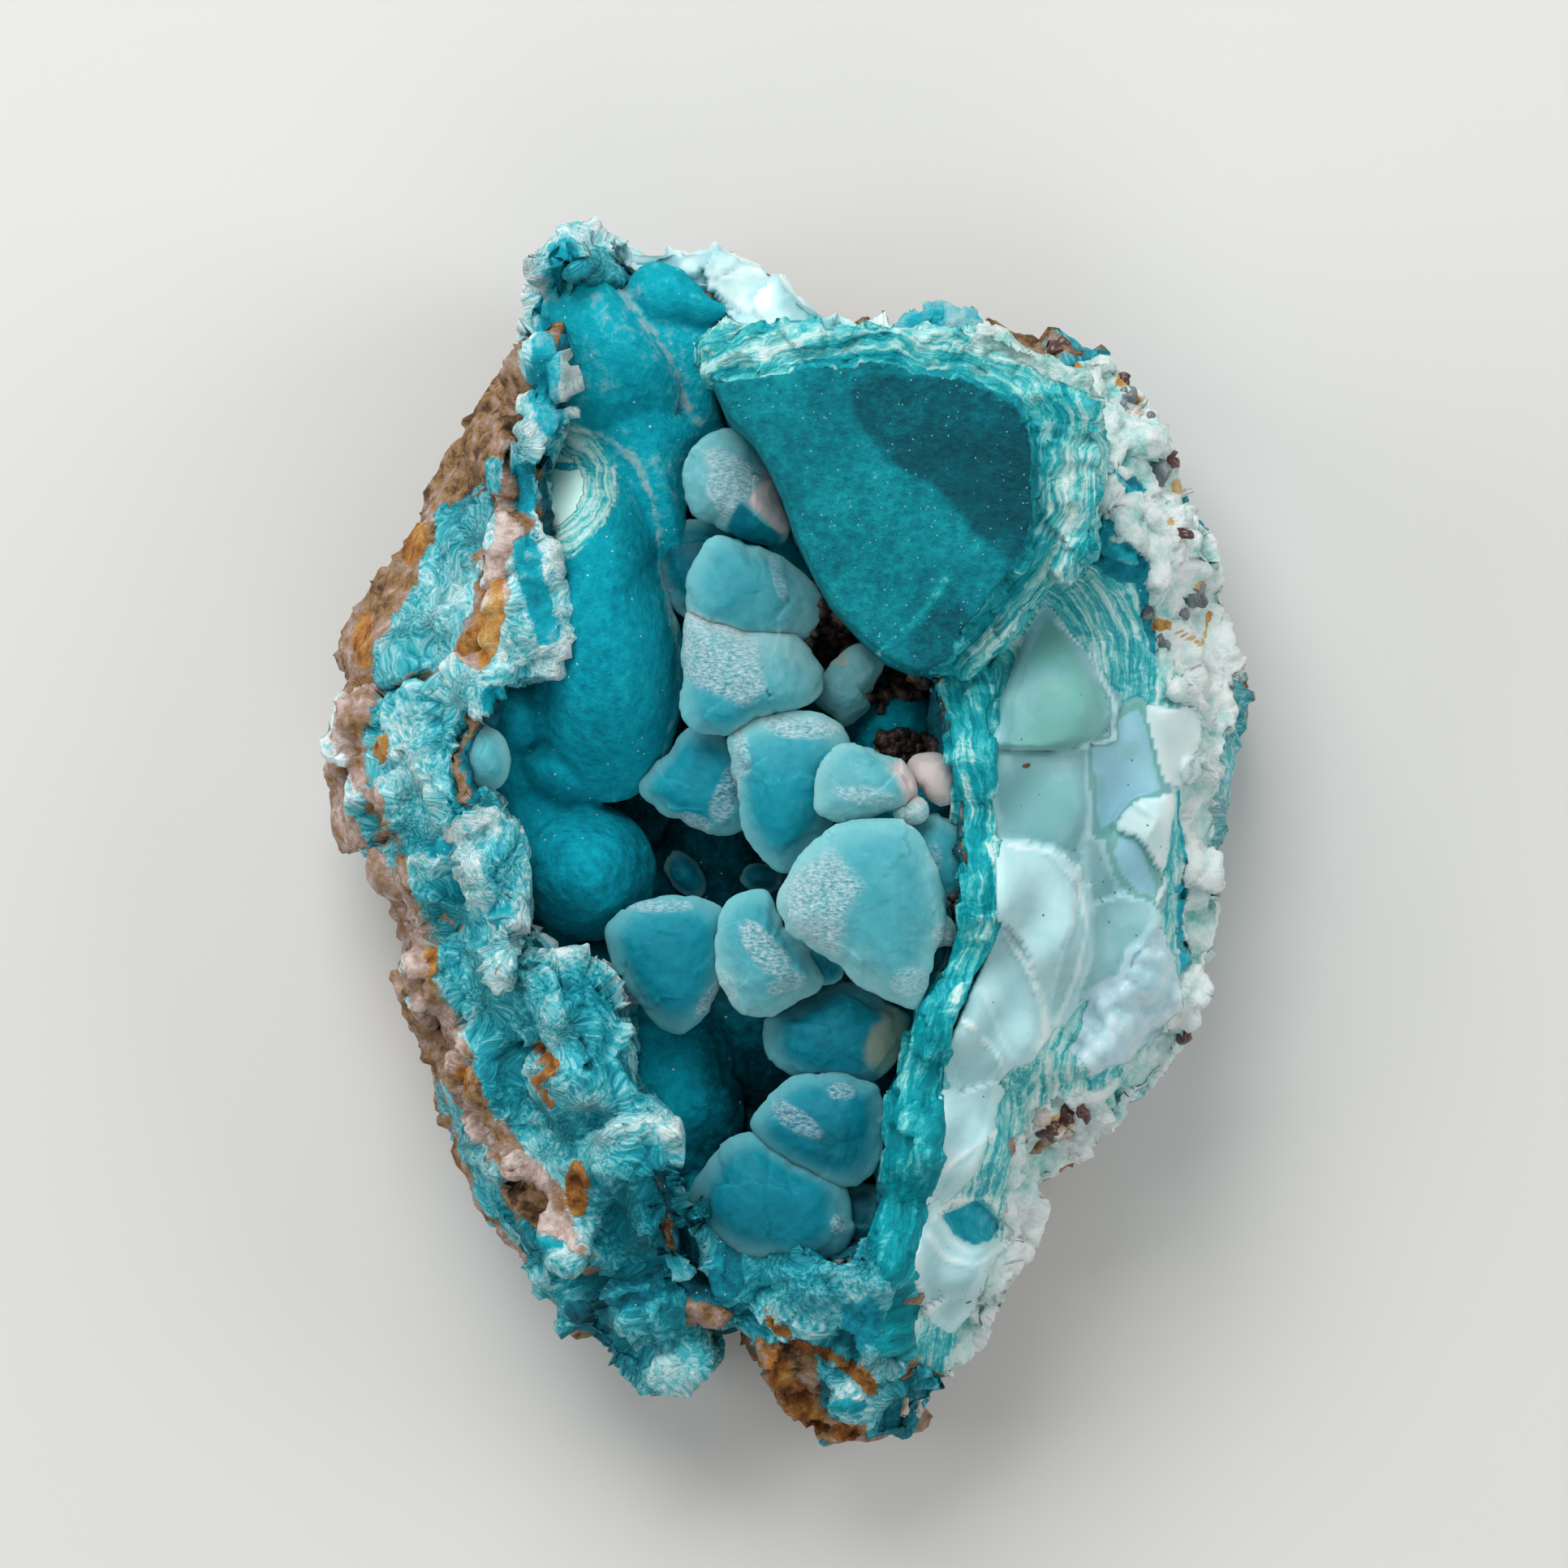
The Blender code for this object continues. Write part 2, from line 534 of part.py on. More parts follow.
def main():
    """Build the two solids and dress them."""
    clear_scene()
    specimen = make_collection(SPECIMEN)
    cutters = make_collection("cutters")
    matrix = build_matrix(specimen, cutters)
    crystals = build_crystals(CRYSTALS, specimen, 0.0, CRYSTAL_TRIANGLES)
    finish(matrix, make_material("aurichalcite rind on rock", (0.03, 0.36, 0.42), 0.6, 0.0))
    finish(crystals, make_material("smithsonite", (0.32, 0.66, 0.72), 0.35, 0.0))


main()
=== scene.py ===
"""Looks of a smithsonite with aurichalcite specimen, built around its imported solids.

The specimen lies on its back, broken face up: +X is right and +Y is up on that face. Forms are modelled
in millimetres, and each finished mesh is scaled to metres.
"""

import itertools
import logging
import math
import random
from dataclasses import dataclass, field
from enum import Enum

import bmesh
import bpy
import numpy as np
from mathutils import Euler, Matrix, Vector


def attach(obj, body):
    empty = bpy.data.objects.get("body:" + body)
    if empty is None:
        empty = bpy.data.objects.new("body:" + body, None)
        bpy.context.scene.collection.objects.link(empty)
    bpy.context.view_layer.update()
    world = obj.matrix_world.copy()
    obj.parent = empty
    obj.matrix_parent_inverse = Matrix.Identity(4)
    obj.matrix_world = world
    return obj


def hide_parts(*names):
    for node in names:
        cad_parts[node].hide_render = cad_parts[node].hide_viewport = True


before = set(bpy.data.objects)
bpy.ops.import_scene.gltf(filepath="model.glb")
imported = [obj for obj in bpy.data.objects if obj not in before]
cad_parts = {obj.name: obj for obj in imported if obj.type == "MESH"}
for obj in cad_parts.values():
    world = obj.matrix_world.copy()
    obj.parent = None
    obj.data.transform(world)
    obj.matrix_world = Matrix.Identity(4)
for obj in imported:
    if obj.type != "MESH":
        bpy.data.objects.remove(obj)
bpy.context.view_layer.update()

MILLIMETRE = 0.001
BODY = "root"

Array = np.ndarray
Outline = tuple[tuple[float, float], ...]
Triple = tuple[float, float, float]

log = logging.getLogger("specimen")


class Node(Enum):
    """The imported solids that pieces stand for."""

    MATRIX = "matrix"
    CRYSTALS = "smithsonite_crystals"


class Slot(Enum):
    """The record's material slots."""

    MATRIX = "matrix"
    SMITHSONITE = "smithsonite"


class Mesh(Enum):
    """How fine a fused skin is: the side of its squares, in millimetres."""

    FINE = 0.24
    MEDIUM = 0.30
    COARSE = 0.44


# The broken face seen from the front, anticlockwise from the upper peak.
OUTLINE: Outline = (
    (-13.2, 39.6), (-15.4, 36.5), (-16.5, 33.5), (-19.0, 29.3), (-20.8, 25.5), (-23.4, 21.0),
    (-27.0, 16.8), (-28.8, 12.5), (-29.4, 7.5), (-30.0, 4.0), (-28.2, -0.4), (-25.6, -4.4),
    (-24.9, -10.0), (-23.7, -14.5), (-22.0, -20.5), (-19.4, -25.0), (-15.0, -30.2), (-10.4, -34.4),
    (-6.0, -34.6), (-4.8, -32.8), (-2.0, -32.4), (-1.0, -35.4), (1.8, -39.0), (5.6, -40.0),
    (8.8, -39.2), (11.6, -33.8), (15.4, -27.6), (17.2, -22.6), (21.5, -18.9), (25.0, -15.6),
    (27.2, -11.0), (28.7, -5.0), (28.5, 2.0), (30.0, 9.8), (28.8, 15.2), (26.0, 22.6),
    (22.8, 29.4), (18.4, 32.4), (12.2, 33.4), (7.0, 32.4), (2.6, 33.2), (-1.4, 36.2),
    (-6.6, 37.2), (-10.0, 37.4),
)
BODY_LEVELS = ((-1.0, 0.74), (0.0, 0.77), (3.0, 0.87), (8.0, 0.965), (13.0, 1.005), (17.0, 0.99), (20.0, 0.96))
HOLLOW: Outline = (
    (-13.0, 35.6), (-14.6, 30.0), (-15.4, 22.5), (-15.0, 15.0), (-18.0, 9.5), (-20.4, 5.0),
    (-19.2, 0.8), (-17.6, -5.0), (-15.0, -9.5), (-10.8, -14.5), (-9.2, -19.5), (-7.0, -24.5),
    (-6.4, -29.8), (-2.6, -31.0), (-3.2, -26.0), (1.0, -28.0), (5.9, -27.0), (7.6, -19.0),
    (9.2, -12.0), (11.6, -5.0), (11.2, 3.0), (9.8, 9.8), (3.8, 14.0), (-1.0, 23.0),
    (-4.2, 29.5), (-2.0, 33.0), (-6.0, 35.6),
)
HOLLOW_LEVELS = ((9.5, 0.82), (12.5, 0.93), (19.0, 1.0), (45.0, 1.03))

# Lie of the broken face: places and their heights above the back.
LIE: tuple[Triple, ...] = (
    (-13.2, 39.6, 20.0), (-13.8, 36.7, 23.5), (-15.4, 30.4, 25.0), (-16.5, 24.6, 25.5),
    (-17.0, 19.3, 25.0), (-17.5, 14.1, 24.6), (-19.6, 9.4, 24.2), (-21.5, 5.7, 24.0),
    (-20.6, 1.5, 25.2), (-17.8, -2.7, 26.0), (-17.8, -7.4, 25.6), (-14.4, -11.1, 25.4),
    (-12.2, -15.3, 25.2), (-9.6, -20.6, 24.2), (-8.0, -24.8, 22.6), (-8.6, -30.0, 17.0),
    (-7.0, -34.2, 13.0), (-16.5, 34.6, 15.0), (-19.1, 29.3, 14.5), (-22.2, 23.0, 14.0),
    (-25.4, 18.3, 13.5), (-28.3, 14.9, 13.0), (-29.0, 10.4, 13.5), (-29.8, 4.1, 12.5),
    (-28.0, -0.6, 13.0), (-25.2, -6.4, 12.5), (-23.8, -13.7, 12.0), (-22.5, -19.5, 12.0),
    (-19.6, -24.8, 12.0), (-14.9, -30.5, 11.5), (-10.2, -34.7, 11.0), (-23.3, 12.0, 18.5),
    (-24.3, 6.7, 19.5), (-24.6, 1.5, 20.0), (-22.2, -3.8, 21.0), (-22.2, -9.0, 20.0),
    (-18.6, -15.8, 20.5), (-16.5, -21.1, 19.0), (-12.8, -25.8, 18.5), (-8.6, 36.9, 18.0),
    (-3.3, 35.9, 18.5), (-0.2, 33.0, 20.0), (4.5, 32.2, 20.0), (10.8, 33.3, 18.0),
    (12.4, 5.0, 27.6), (13.0, -3.8, 27.6), (11.4, -11.6, 26.4), (9.4, -19.5, 25.2),
    (7.6, -27.0, 23.0), (6.6, -32.6, 18.5), (17.7, 8.3, 25.4), (17.7, 1.5, 25.2),
    (17.0, -6.4, 24.8), (14.6, -13.2, 24.2), (12.4, -20.0, 22.6), (11.4, -28.0, 19.5),
    (22.9, 17.2, 21.5), (23.4, 9.4, 21.0), (22.9, 1.5, 21.0), (22.6, -6.4, 20.2),
    (19.6, -13.2, 20.0), (16.6, -18.5, 18.0), (22.9, 29.3, 14.5), (26.1, 22.5, 14.0),
    (29.0, 14.6, 13.0), (29.7, 9.9, 12.5), (28.7, 1.5, 13.0), (28.2, -6.4, 12.5),
    (25.5, -15.3, 12.0), (18.2, -20.8, 12.5), (16.4, -26.9, 12.0), (13.2, -32.1, 12.0),
    (1.9, -28.6, 19.5), (-0.7, -32.1, 15.0), (4.5, -35.3, 14.0), (1.9, -38.9, 9.5),
    (8.7, -38.9, 9.5), (7.2, -36.3, 13.0), (17.7, 31.9, 16.5), (21.3, 26.7, 19.0),
    (21.9, 21.4, 21.0), (3.0, -23.0, 20.0), (-3.0, -27.0, 17.0),
)

SILKY_RIM: Outline = (
    (-13.2, 39.4), (-11.8, 38.4), (-10.3, 37.6), (-10.7, 36.7), (-12.3, 37.1), (-13.8, 36.7),
    (-14.6, 35.1), (-15.3, 33.0), (-15.0, 30.9), (-14.1, 29.3), (-13.8, 27.0), (-14.4, 25.4),
    (-15.3, 23.8), (-15.5, 20.4), (-14.9, 17.8), (-14.1, 16.2), (-13.6, 13.6), (-14.4, 10.4),
    (-17.0, 9.5), (-18.8, 9.0), (-19.5, 7.3), (-20.7, 6.0), (-21.1, 4.4), (-20.6, 2.8),
    (-19.1, 2.0), (-18.1, 1.0), (-16.9, -1.2), (-18.5, -2.8), (-16.9, -4.4), (-17.3, -6.9),
    (-14.4, -8.6), (-11.6, -9.6), (-10.6, -12.3), (-10.1, -15.8), (-8.7, -18.9), (-7.4, -21.5),
    (-6.5, -24.8), (-7.6, -25.4), (-6.6, -27.9), (-6.2, -32.5), (-5.0, -34.7), (-7.5, -35.4),
    (-10.7, -34.5), (-13.2, -32.2), (-15.3, -29.6), (-17.0, -26.9), (-19.1, -24.8), (-17.0, -21.6),
    (-19.9, -17.7), (-22.0, -14.3), (-23.3, -11.1), (-24.1, -8.0), (-24.8, -4.8), (-26.7, -1.1),
    (-28.5, 2.3), (-29.3, 5.2), (-28.3, 8.4), (-25.9, 9.6), (-22.2, 10.4), (-19.1, 12.0),
    (-18.5, 14.1), (-19.1, 17.2), (-18.5, 20.4), (-17.0, 25.6), (-16.4, 28.8), (-16.2, 33.0),
    (-15.9, 35.6), (-15.0, 38.0), (-14.1, 39.2),
)
FOOT: Outline = (
    (-6.0, -24.5), (-4.9, -23.7), (-3.1, -23.4), (-1.0, -24.2), (1.4, -26.6), (3.5, -27.6),
    (5.9, -26.9), (6.7, -27.9), (6.4, -32.1), (7.2, -34.7), (9.8, -35.3), (10.6, -36.0),
    (9.3, -38.1), (8.3, -39.5), (7.1, -39.9), (4.3, -40.1), (3.0, -40.0), (0.6, -37.9),
    (-1.0, -35.3), (-1.4, -32.7), (-3.1, -32.1), (-4.4, -27.9),
)
UPPER_EDGE: Outline = (
    (-11.1, 38.5), (-9.1, 37.8), (-5.0, 37.9), (-3.1, 37.2), (-1.0, 36.4), (0.6, 34.8), (2.4, 33.8),
    (5.1, 32.6), (7.4, 32.8), (8.7, 33.8), (10.3, 34.2), (12.2, 33.6), (13.2, 32.7), (11.4, 31.7),
    (5.1, 31.7), (1.9, 31.7), (-1.2, 31.4), (-3.1, 32.4), (-3.3, 33.3), (-4.9, 34.8),
    (-8.6, 35.9), (-10.1, 36.7),
)
RIBBON: Outline = (
    (9.8, 9.6), (10.6, 7.8), (10.9, 4.6), (11.4, 1.5), (11.6, -1.7), (11.4, -4.3), (11.3, -6.4),
    (10.6, -8.5), (9.0, -10.6), (8.3, -13.7), (7.4, -16.4), (6.7, -19.5), (6.6, -22.7),
    (6.1, -25.8), (5.2, -27.9), (5.2, -32.1), (6.6, -35.3), (8.2, -34.7), (8.7, -31.1),
    (9.0, -26.9), (9.8, -23.2), (10.6, -19.5), (10.6, -15.3), (10.8, -12.2), (11.9, -9.8),
    (13.2, -7.2), (14.0, -4.8), (13.9, -1.7), (13.8, 1.5), (13.6, 5.2), (12.9, 7.8),
    (13.7, 10.7), (11.6, 12.0),
)
RIGHT_PLATE: Outline = (
    (12.7, 9.9), (16.1, 15.1), (19.2, 17.8), (20.0, 24.6), (19.0, 29.3), (19.2, 30.9),
    (21.3, 30.9), (23.4, 28.8), (24.6, 27.2), (25.4, 25.4), (26.2, 22.2), (27.7, 18.9),
    (28.8, 16.3), (29.2, 14.1), (29.4, 11.4), (30.0, 10.3), (29.8, 8.7), (28.8, 5.1),
    (28.4, 1.5), (28.4, -3.3), (28.8, -4.9), (28.2, -8.1), (27.6, -10.2), (26.3, -13.6),
    (24.5, -16.4), (21.8, -18.7), (19.0, -20.8), (17.1, -22.7), (16.5, -26.3), (14.8, -29.0),
    (13.7, -31.6), (12.4, -33.7), (10.9, -35.5), (7.7, -34.7), (8.0, -30.0), (9.0, -24.8),
    (9.8, -19.5), (10.3, -14.3), (11.9, -10.3), (13.7, -6.4), (13.6, -1.1), (13.2, 5.2),
)
BLOCK_FACE: Outline = (
    (-4.2, 28.4), (-3.2, 26.4), (-1.7, 25.0), (-0.7, 23.3), (0.2, 21.4), (0.8, 19.6), (2.0, 16.9), (3.3, 14.6),
    (5.3, 12.5), (6.8, 11.2), (8.6, 10.5), (10.4, 11.0), (12.4, 14.0), (14.9, 17.0), (15.8, 20.6), (15.7, 25.6),
    (14.6, 27.2), (11.4, 28.6), (6.9, 29.6), (1.9, 29.6),
)
BLOCK_BODY: Outline = (
    (-4.8, 29.8), (-3.4, 26.5), (-1.8, 25.0), (-0.8, 23.3), (0.1, 21.4), (0.7, 19.5), (1.9, 16.8), (3.2, 14.5),
    (5.2, 12.4), (6.7, 11.0), (8.6, 10.2), (11.8, 10.2), (16.4, 15.2), (19.8, 17.8), (20.2, 24.6), (19.2, 29.0),
    (13.2, 31.9), (5.0, 32.0), (-1.6, 32.0),
)
BLOCK_CHUNK: Outline = (
    (-4.9, 31.3), (-3.1, 32.6), (-0.7, 31.7), (1.9, 30.6), (-0.2, 29.3), (-4.1, 28.3),
)
OCHRE_RIDGE: Outline = (
    (-15.5, 20.3), (-15.9, 19.3), (-16.9, 18.7), (-17.4, 17.8), (-17.6, 15.4), (-18.5, 12.0), (-19.3, 10.4),
    (-21.2, 11.4), (-20.7, 12.5), (-19.6, 14.6), (-19.2, 16.2), (-19.2, 18.2), (-18.3, 19.7), (-18.5, 21.7),
    (-17.9, 22.5), (-17.0, 20.8),
)
SILKY_POCKET: Outline = (
    (-19.2, 24.2), (-17.7, 24.2), (-18.1, 22.5), (-18.5, 21.7), (-18.3, 19.7), (-19.2, 18.2), (-19.2, 16.2),
    (-19.6, 14.6), (-20.7, 12.0), (-21.2, 11.4), (-26.2, 8.8), (-27.0, 9.4), (-26.2, 12.0), (-25.5, 13.4),
    (-24.6, 14.8), (-23.3, 16.4), (-23.3, 17.8), (-22.2, 18.9), (-22.2, 20.8), (-19.2, 22.2),
)
LOWER_CRUST: Outline = (
    (-22.5, -16.6), (-21.2, -18.5), (-19.1, -21.1), (-17.0, -23.2), (-13.8, -25.8), (-12.8, -27.1),
    (-13.8, -30.0), (-15.3, -29.6), (-17.0, -26.9), (-19.9, -24.2), (-21.7, -21.1), (-22.9, -19.5),
)
TAN_BAND: Outline = (
    (-28.8, 13.5), (-28.8, 12.0), (-28.5, 9.9), (-29.5, 7.5), (-29.3, 5.2), (-28.0, 3.1), (-26.7, 0.4),
    (-25.5, -1.7), (-25.0, -4.3), (-24.9, -7.4), (-24.1, -11.1), (-22.8, -15.8), (-20.9, -19.5),
    (-19.6, -22.1), (-17.0, -24.8), (-13.8, -27.1), (-12.0, -27.4), (-13.6, -24.8), (-14.4, -22.7),
    (-15.9, -20.8), (-17.4, -19.5), (-19.6, -15.8), (-21.2, -12.2), (-22.5, -9.0), (-23.4, -5.3),
    (-24.1, -2.7), (-24.9, -0.6), (-25.9, 2.0), (-27.0, 4.6), (-27.2, 6.7), (-25.9, 9.4), (-26.2, 12.0),
)
LIMONITE_TIP: Outline = (
    (-1.7, -32.7), (2.1, -33.7), (2.4, -36.6), (2.4, -38.8), (4.0, -39.0), (5.2, -39.1), (5.0, -40.1),
    (3.5, -40.3), (1.4, -39.2), (-0.7, -37.6), (-1.5, -34.6),
)
ORANGE_VEIN: Outline = (
    (-1.2, -30.0), (-0.6, -31.7), (0.8, -32.8), (2.9, -33.7), (4.0, -34.0), (5.3, -34.9), (6.4, -35.9),
    (6.0, -36.6), (4.4, -35.6), (3.1, -34.3), (1.4, -33.7), (-0.1, -32.4), (-1.1, -31.4),
)


def hashed(cells: Array, seed: int) -> Array:
    """Make a steady random number for each whole-numbered cell.

    Args:
        cells: Whole numbers, three for each cell.
        seed: Picks one set of random numbers.

    Returns:
        A number from 0 to 1 for each cell.
    """
    mixed = (cells @ np.array([73856093, 19349663, 83492791]) + seed * 2654435761) & 0xFFFFFFFF
    mixed = ((mixed ^ (mixed >> 15)) * 2246822519) & 0xFFFFFFFF
    mixed = ((mixed ^ (mixed >> 13)) * 3266489917) & 0xFFFFFFFF
    return ((mixed ^ (mixed >> 16)) & 0xFFFFFF) / 0xFFFFFF


def soft_noise(points: Array, size: float, seed: int, octaves: int = 1) -> Array:
    """Smooth random bumps.

    Args:
        points: Places, in millimetres.
        size: Width of the largest bumps, in millimetres.
        seed: Picks one pattern.
        octaves: How many finer layers are added, each half the size and height of the last.

    Returns:
        A number from -1 to 1 for each place.
    """
    total, reach, strength = np.zeros(len(points)), 0.0, 1.0
    for octave in range(octaves):
        scaled = points / size + 31.7 * octave
        base = np.floor(scaled).astype(np.int64)
        share = scaled - base
        share = share * share * (3.0 - 2.0 * share)
        for corner in itertools.product((0, 1), repeat=3):
            weight = np.prod(np.where(corner, share, 1.0 - share), axis=1)
            total += strength * weight * (2.0 * hashed(base + corner, seed + octave) - 1.0)
        reach += strength
        strength, size = strength / 2.0, size / 2.0
    return total / reach


def split_cells(points: Array, size: float, seed: int) -> tuple[Array, Array, Array]:
    """Divide space into irregular cells, like the blocks of a broken rock.

    Args:
        points: Places, in millimetres.
        size: Usual width of a cell, in millimetres.
        seed: Picks one pattern.

    Returns:
        For each place, the distances to the nearest and to the second nearest cell centre, and the
        nearest centre itself, all in cell widths.
    """
    scaled = points / size
    base = np.floor(scaled).astype(np.int64)
    nearest = np.full(len(points), np.inf)
    second = nearest.copy()
    centre = np.zeros_like(scaled)
    for step in itertools.product((-1, 0, 1), repeat=3):
        cell = base + step
        spot = cell + np.stack([hashed(cell, seed + axis) for axis in range(3)], axis=1)
        away = np.linalg.norm(scaled - spot, axis=1)
        closer = away < nearest
        second = np.where(closer, nearest, np.minimum(second, away))
        centre[closer] = spot[closer]
        nearest = np.where(closer, away, nearest)
    return nearest, second, centre


def path_distance(points: Array, path: Outline) -> Array:
    """Measure how far places are from a path, looking along -Z.

    Args:
        points: Places, in millimetres.
        path: The path's corners.

    Returns:
        Distances, in millimetres.
    """
    nearest = np.full(len(points), np.inf)
    for start, end in zip(path, path[1:]):
        side = np.subtract(end, start)
        away = points[:, :2] - start
        share = np.clip(away @ side / (side @ side), 0.0, 1.0)
        nearest = np.minimum(nearest, np.linalg.norm(away - share[:, None] * side, axis=1))
    return nearest


def signed_distance(points: Array, outline: Outline) -> Array:
    """Measure how far places are inside an outline, looking along -Z.

    Args:
        points: Places, in millimetres.
        outline: The outline's corners.

    Returns:
        Millimetres to the outline, positive inside it and negative outside.
    """
    inside = np.zeros(len(points), dtype=bool)
    for start, end in zip(outline, outline[1:] + outline[:1]):
        if start[1] != end[1]:
            crosses = (start[1] > points[:, 1]) != (end[1] > points[:, 1])
            slope = (end[0] - start[0]) / (end[1] - start[1])
            inside ^= crosses & (points[:, 0] < start[0] + (points[:, 1] - start[1]) * slope)
    nearest = path_distance(points, outline + outline[:1])
    return np.where(inside, nearest, -nearest)


def smooth_step(values: Array, low: float, high: float) -> Array:
    """Turn values into a share that eases from 0 at low to 1 at high.

    Args:
        values: The values.
        low: Where the share is 0.
        high: Where the share is 1.

    Returns:
        A share from 0 to 1 for each value.
    """
    share = np.clip((values - low) / (high - low), 0.0, 1.0)
    return share * share * (3.0 - 2.0 * share)


def lie_of_face(points: Array) -> Array:
    """Height of the broken face at each place, eased between the heights that are given.

    Args:
        points: Places, in millimetres.

    Returns:
        Heights above the back, in millimetres.
    """
    known = np.array(LIE)
    away = np.linalg.norm(points[:, None, :2] - known[None, :, :2], axis=2)
    weight = 1.0 / (away ** 3.2 + 0.8)
    return (weight @ known[:, 2]) / weight.sum(axis=1)


@dataclass(frozen=True)
class Zone:
    """Part of the face that has a finish of its own, with a ragged edge.

    Attributes:
        outline: The zone's corners.
        blur: Width of the soft edge, in millimetres.
        ragged: How far the edge wanders, in millimetres.
        grain: Width of its wanderings, in millimetres.
        seed: Picks one pattern of wandering.
    """

    outline: Outline
    blur: float = 0.6
    ragged: float = 0.8
    grain: float = 2.4
    seed: int = 1

    def share(self, points: Array) -> Array:
        """How much each place belongs to the zone.

        Args:
            points: Places, in millimetres.

        Returns:
            A share from 0 to 1 for each place.
        """
        inside = signed_distance(points, self.outline)
        inside += self.ragged * soft_noise(points, self.grain, self.seed, 4)
        return smooth_step(inside, -self.blur / 2.0, self.blur / 2.0)


@dataclass(frozen=True)
class Spot:
    """A round or oval patch on the face.

    Attributes:
        place: Its middle.
        radii: Its half sizes across and up.
        turn: How far it is turned anticlockwise, in degrees.
        strength: Its share at the middle.
    """

    place: tuple[float, float]
    radii: tuple[float, float]
    turn: float = 0.0
    strength: float = 1.0

    def share(self, points: Array) -> Array:
        """How much each place belongs to the patch.

        Args:
            points: Places, in millimetres.

        Returns:
            A share from 0 to its strength for each place.
        """
        away = points[:, :2] - self.place
        angle = math.radians(self.turn)
        across = away[:, 0] * math.cos(angle) + away[:, 1] * math.sin(angle)
        up = away[:, 1] * math.cos(angle) - away[:, 0] * math.sin(angle)
        reach = np.hypot(across / self.radii[0], up / self.radii[1])
        reach += 0.35 * soft_noise(points, 1.6, 77, 4)
        return self.strength * smooth_step(-reach, -1.15, -0.75)


@dataclass(frozen=True)
class Trail:
    """A narrow streak along a path, such as a vein, a ridge or a crack.

    Attributes:
        path: Its corners.
        width: Half its width, in millimetres.
        blur: Width of its soft edge, in millimetres.
        strength: Its share along the middle.
    """

    path: Outline
    width: float
    blur: float = 0.3
    strength: float = 1.0

    def share(self, points: Array) -> Array:
        """How much each place belongs to the streak.

        Args:
            points: Places, in millimetres.

        Returns:
            A share from 0 to its strength for each place.
        """
        away = path_distance(points, self.path) + (0.3 + self.width) * 0.6 * soft_noise(points, 0.9, 78, 3)
        return self.strength * smooth_step(-away, -self.width - self.blur, -self.width)


def largest_share(parts: tuple, points: Array) -> Array:
    """Join several zones or spots into one mask.

    Args:
        parts: The zones and spots.
        points: Places, in millimetres.

    Returns:
        The largest share at each place.
    """
    shares = [part.share(points) for part in parts]
    return np.max(shares, axis=0) if shares else np.zeros(len(points))


def tones(points: Array, base: Array | float, clouds: float, size: float, seed: int) -> Array:
    """Work out the tone of a mineral at each place.

    Args:
        points: Places, in millimetres.
        base: The tone without clouds.
        clouds: How far soft clouds shift the tone.
        size: Width of the clouds, in millimetres.
        seed: Picks one pattern of clouds.

    Returns:
        Tones.
    """
    return base + clouds * 1.6 * soft_noise(points, size, seed, 3)


@dataclass(frozen=True)
class Relief:
    """How a surface is broken: blocky facets, rounded lumps and a fine grain, in millimetres.

    Attributes:
        facets: For each size of block, its width, how far one stands above the next, and its slope.
        lump: Width of the rounded lumps.
        bulge: Their height.
        grain: Width of the grain.
        depth: Its height.
        seed: Picks one pattern.
    """

    facets: tuple[Triple, ...] = ()
    lump: float = 2.0
    bulge: float = 0.0
    grain: float = 1.2
    depth: float = 0.0
    seed: int = 5

    def push(self, points: Array) -> Array:
        """How far the surface stands out at each place.

        Args:
            points: Places, in millimetres.

        Returns:
            Millimetres along the surface's normal.
        """
        total = np.zeros(len(points))
        for seed, (width, step, tilt) in enumerate(self.facets, self.seed):
            warped = points + 0.12 * width * np.stack(
                [soft_noise(points, width / 2.0, seed + 20 + axis, 2) for axis in range(3)], axis=1
            )
            nearest, second, centre = split_cells(warped, width, seed)
            cell = np.floor(centre * 64.0).astype(np.int64)
            lean = np.stack([hashed(cell, seed + 7 + axis) - 0.5 for axis in range(3)], axis=1)
            total += step * (hashed(cell, seed + 3) - 0.5)
            total += 2.0 * tilt * width * np.sum((warped / width - centre) * lean, axis=1)
        if self.bulge:
            nearest, second, centre = split_cells(points, self.lump, self.seed + 11)
            total += self.bulge * (0.5 - nearest * nearest)
        if self.depth:
            total += self.depth * soft_noise(points, self.grain, self.seed + 17, 3)
        return total


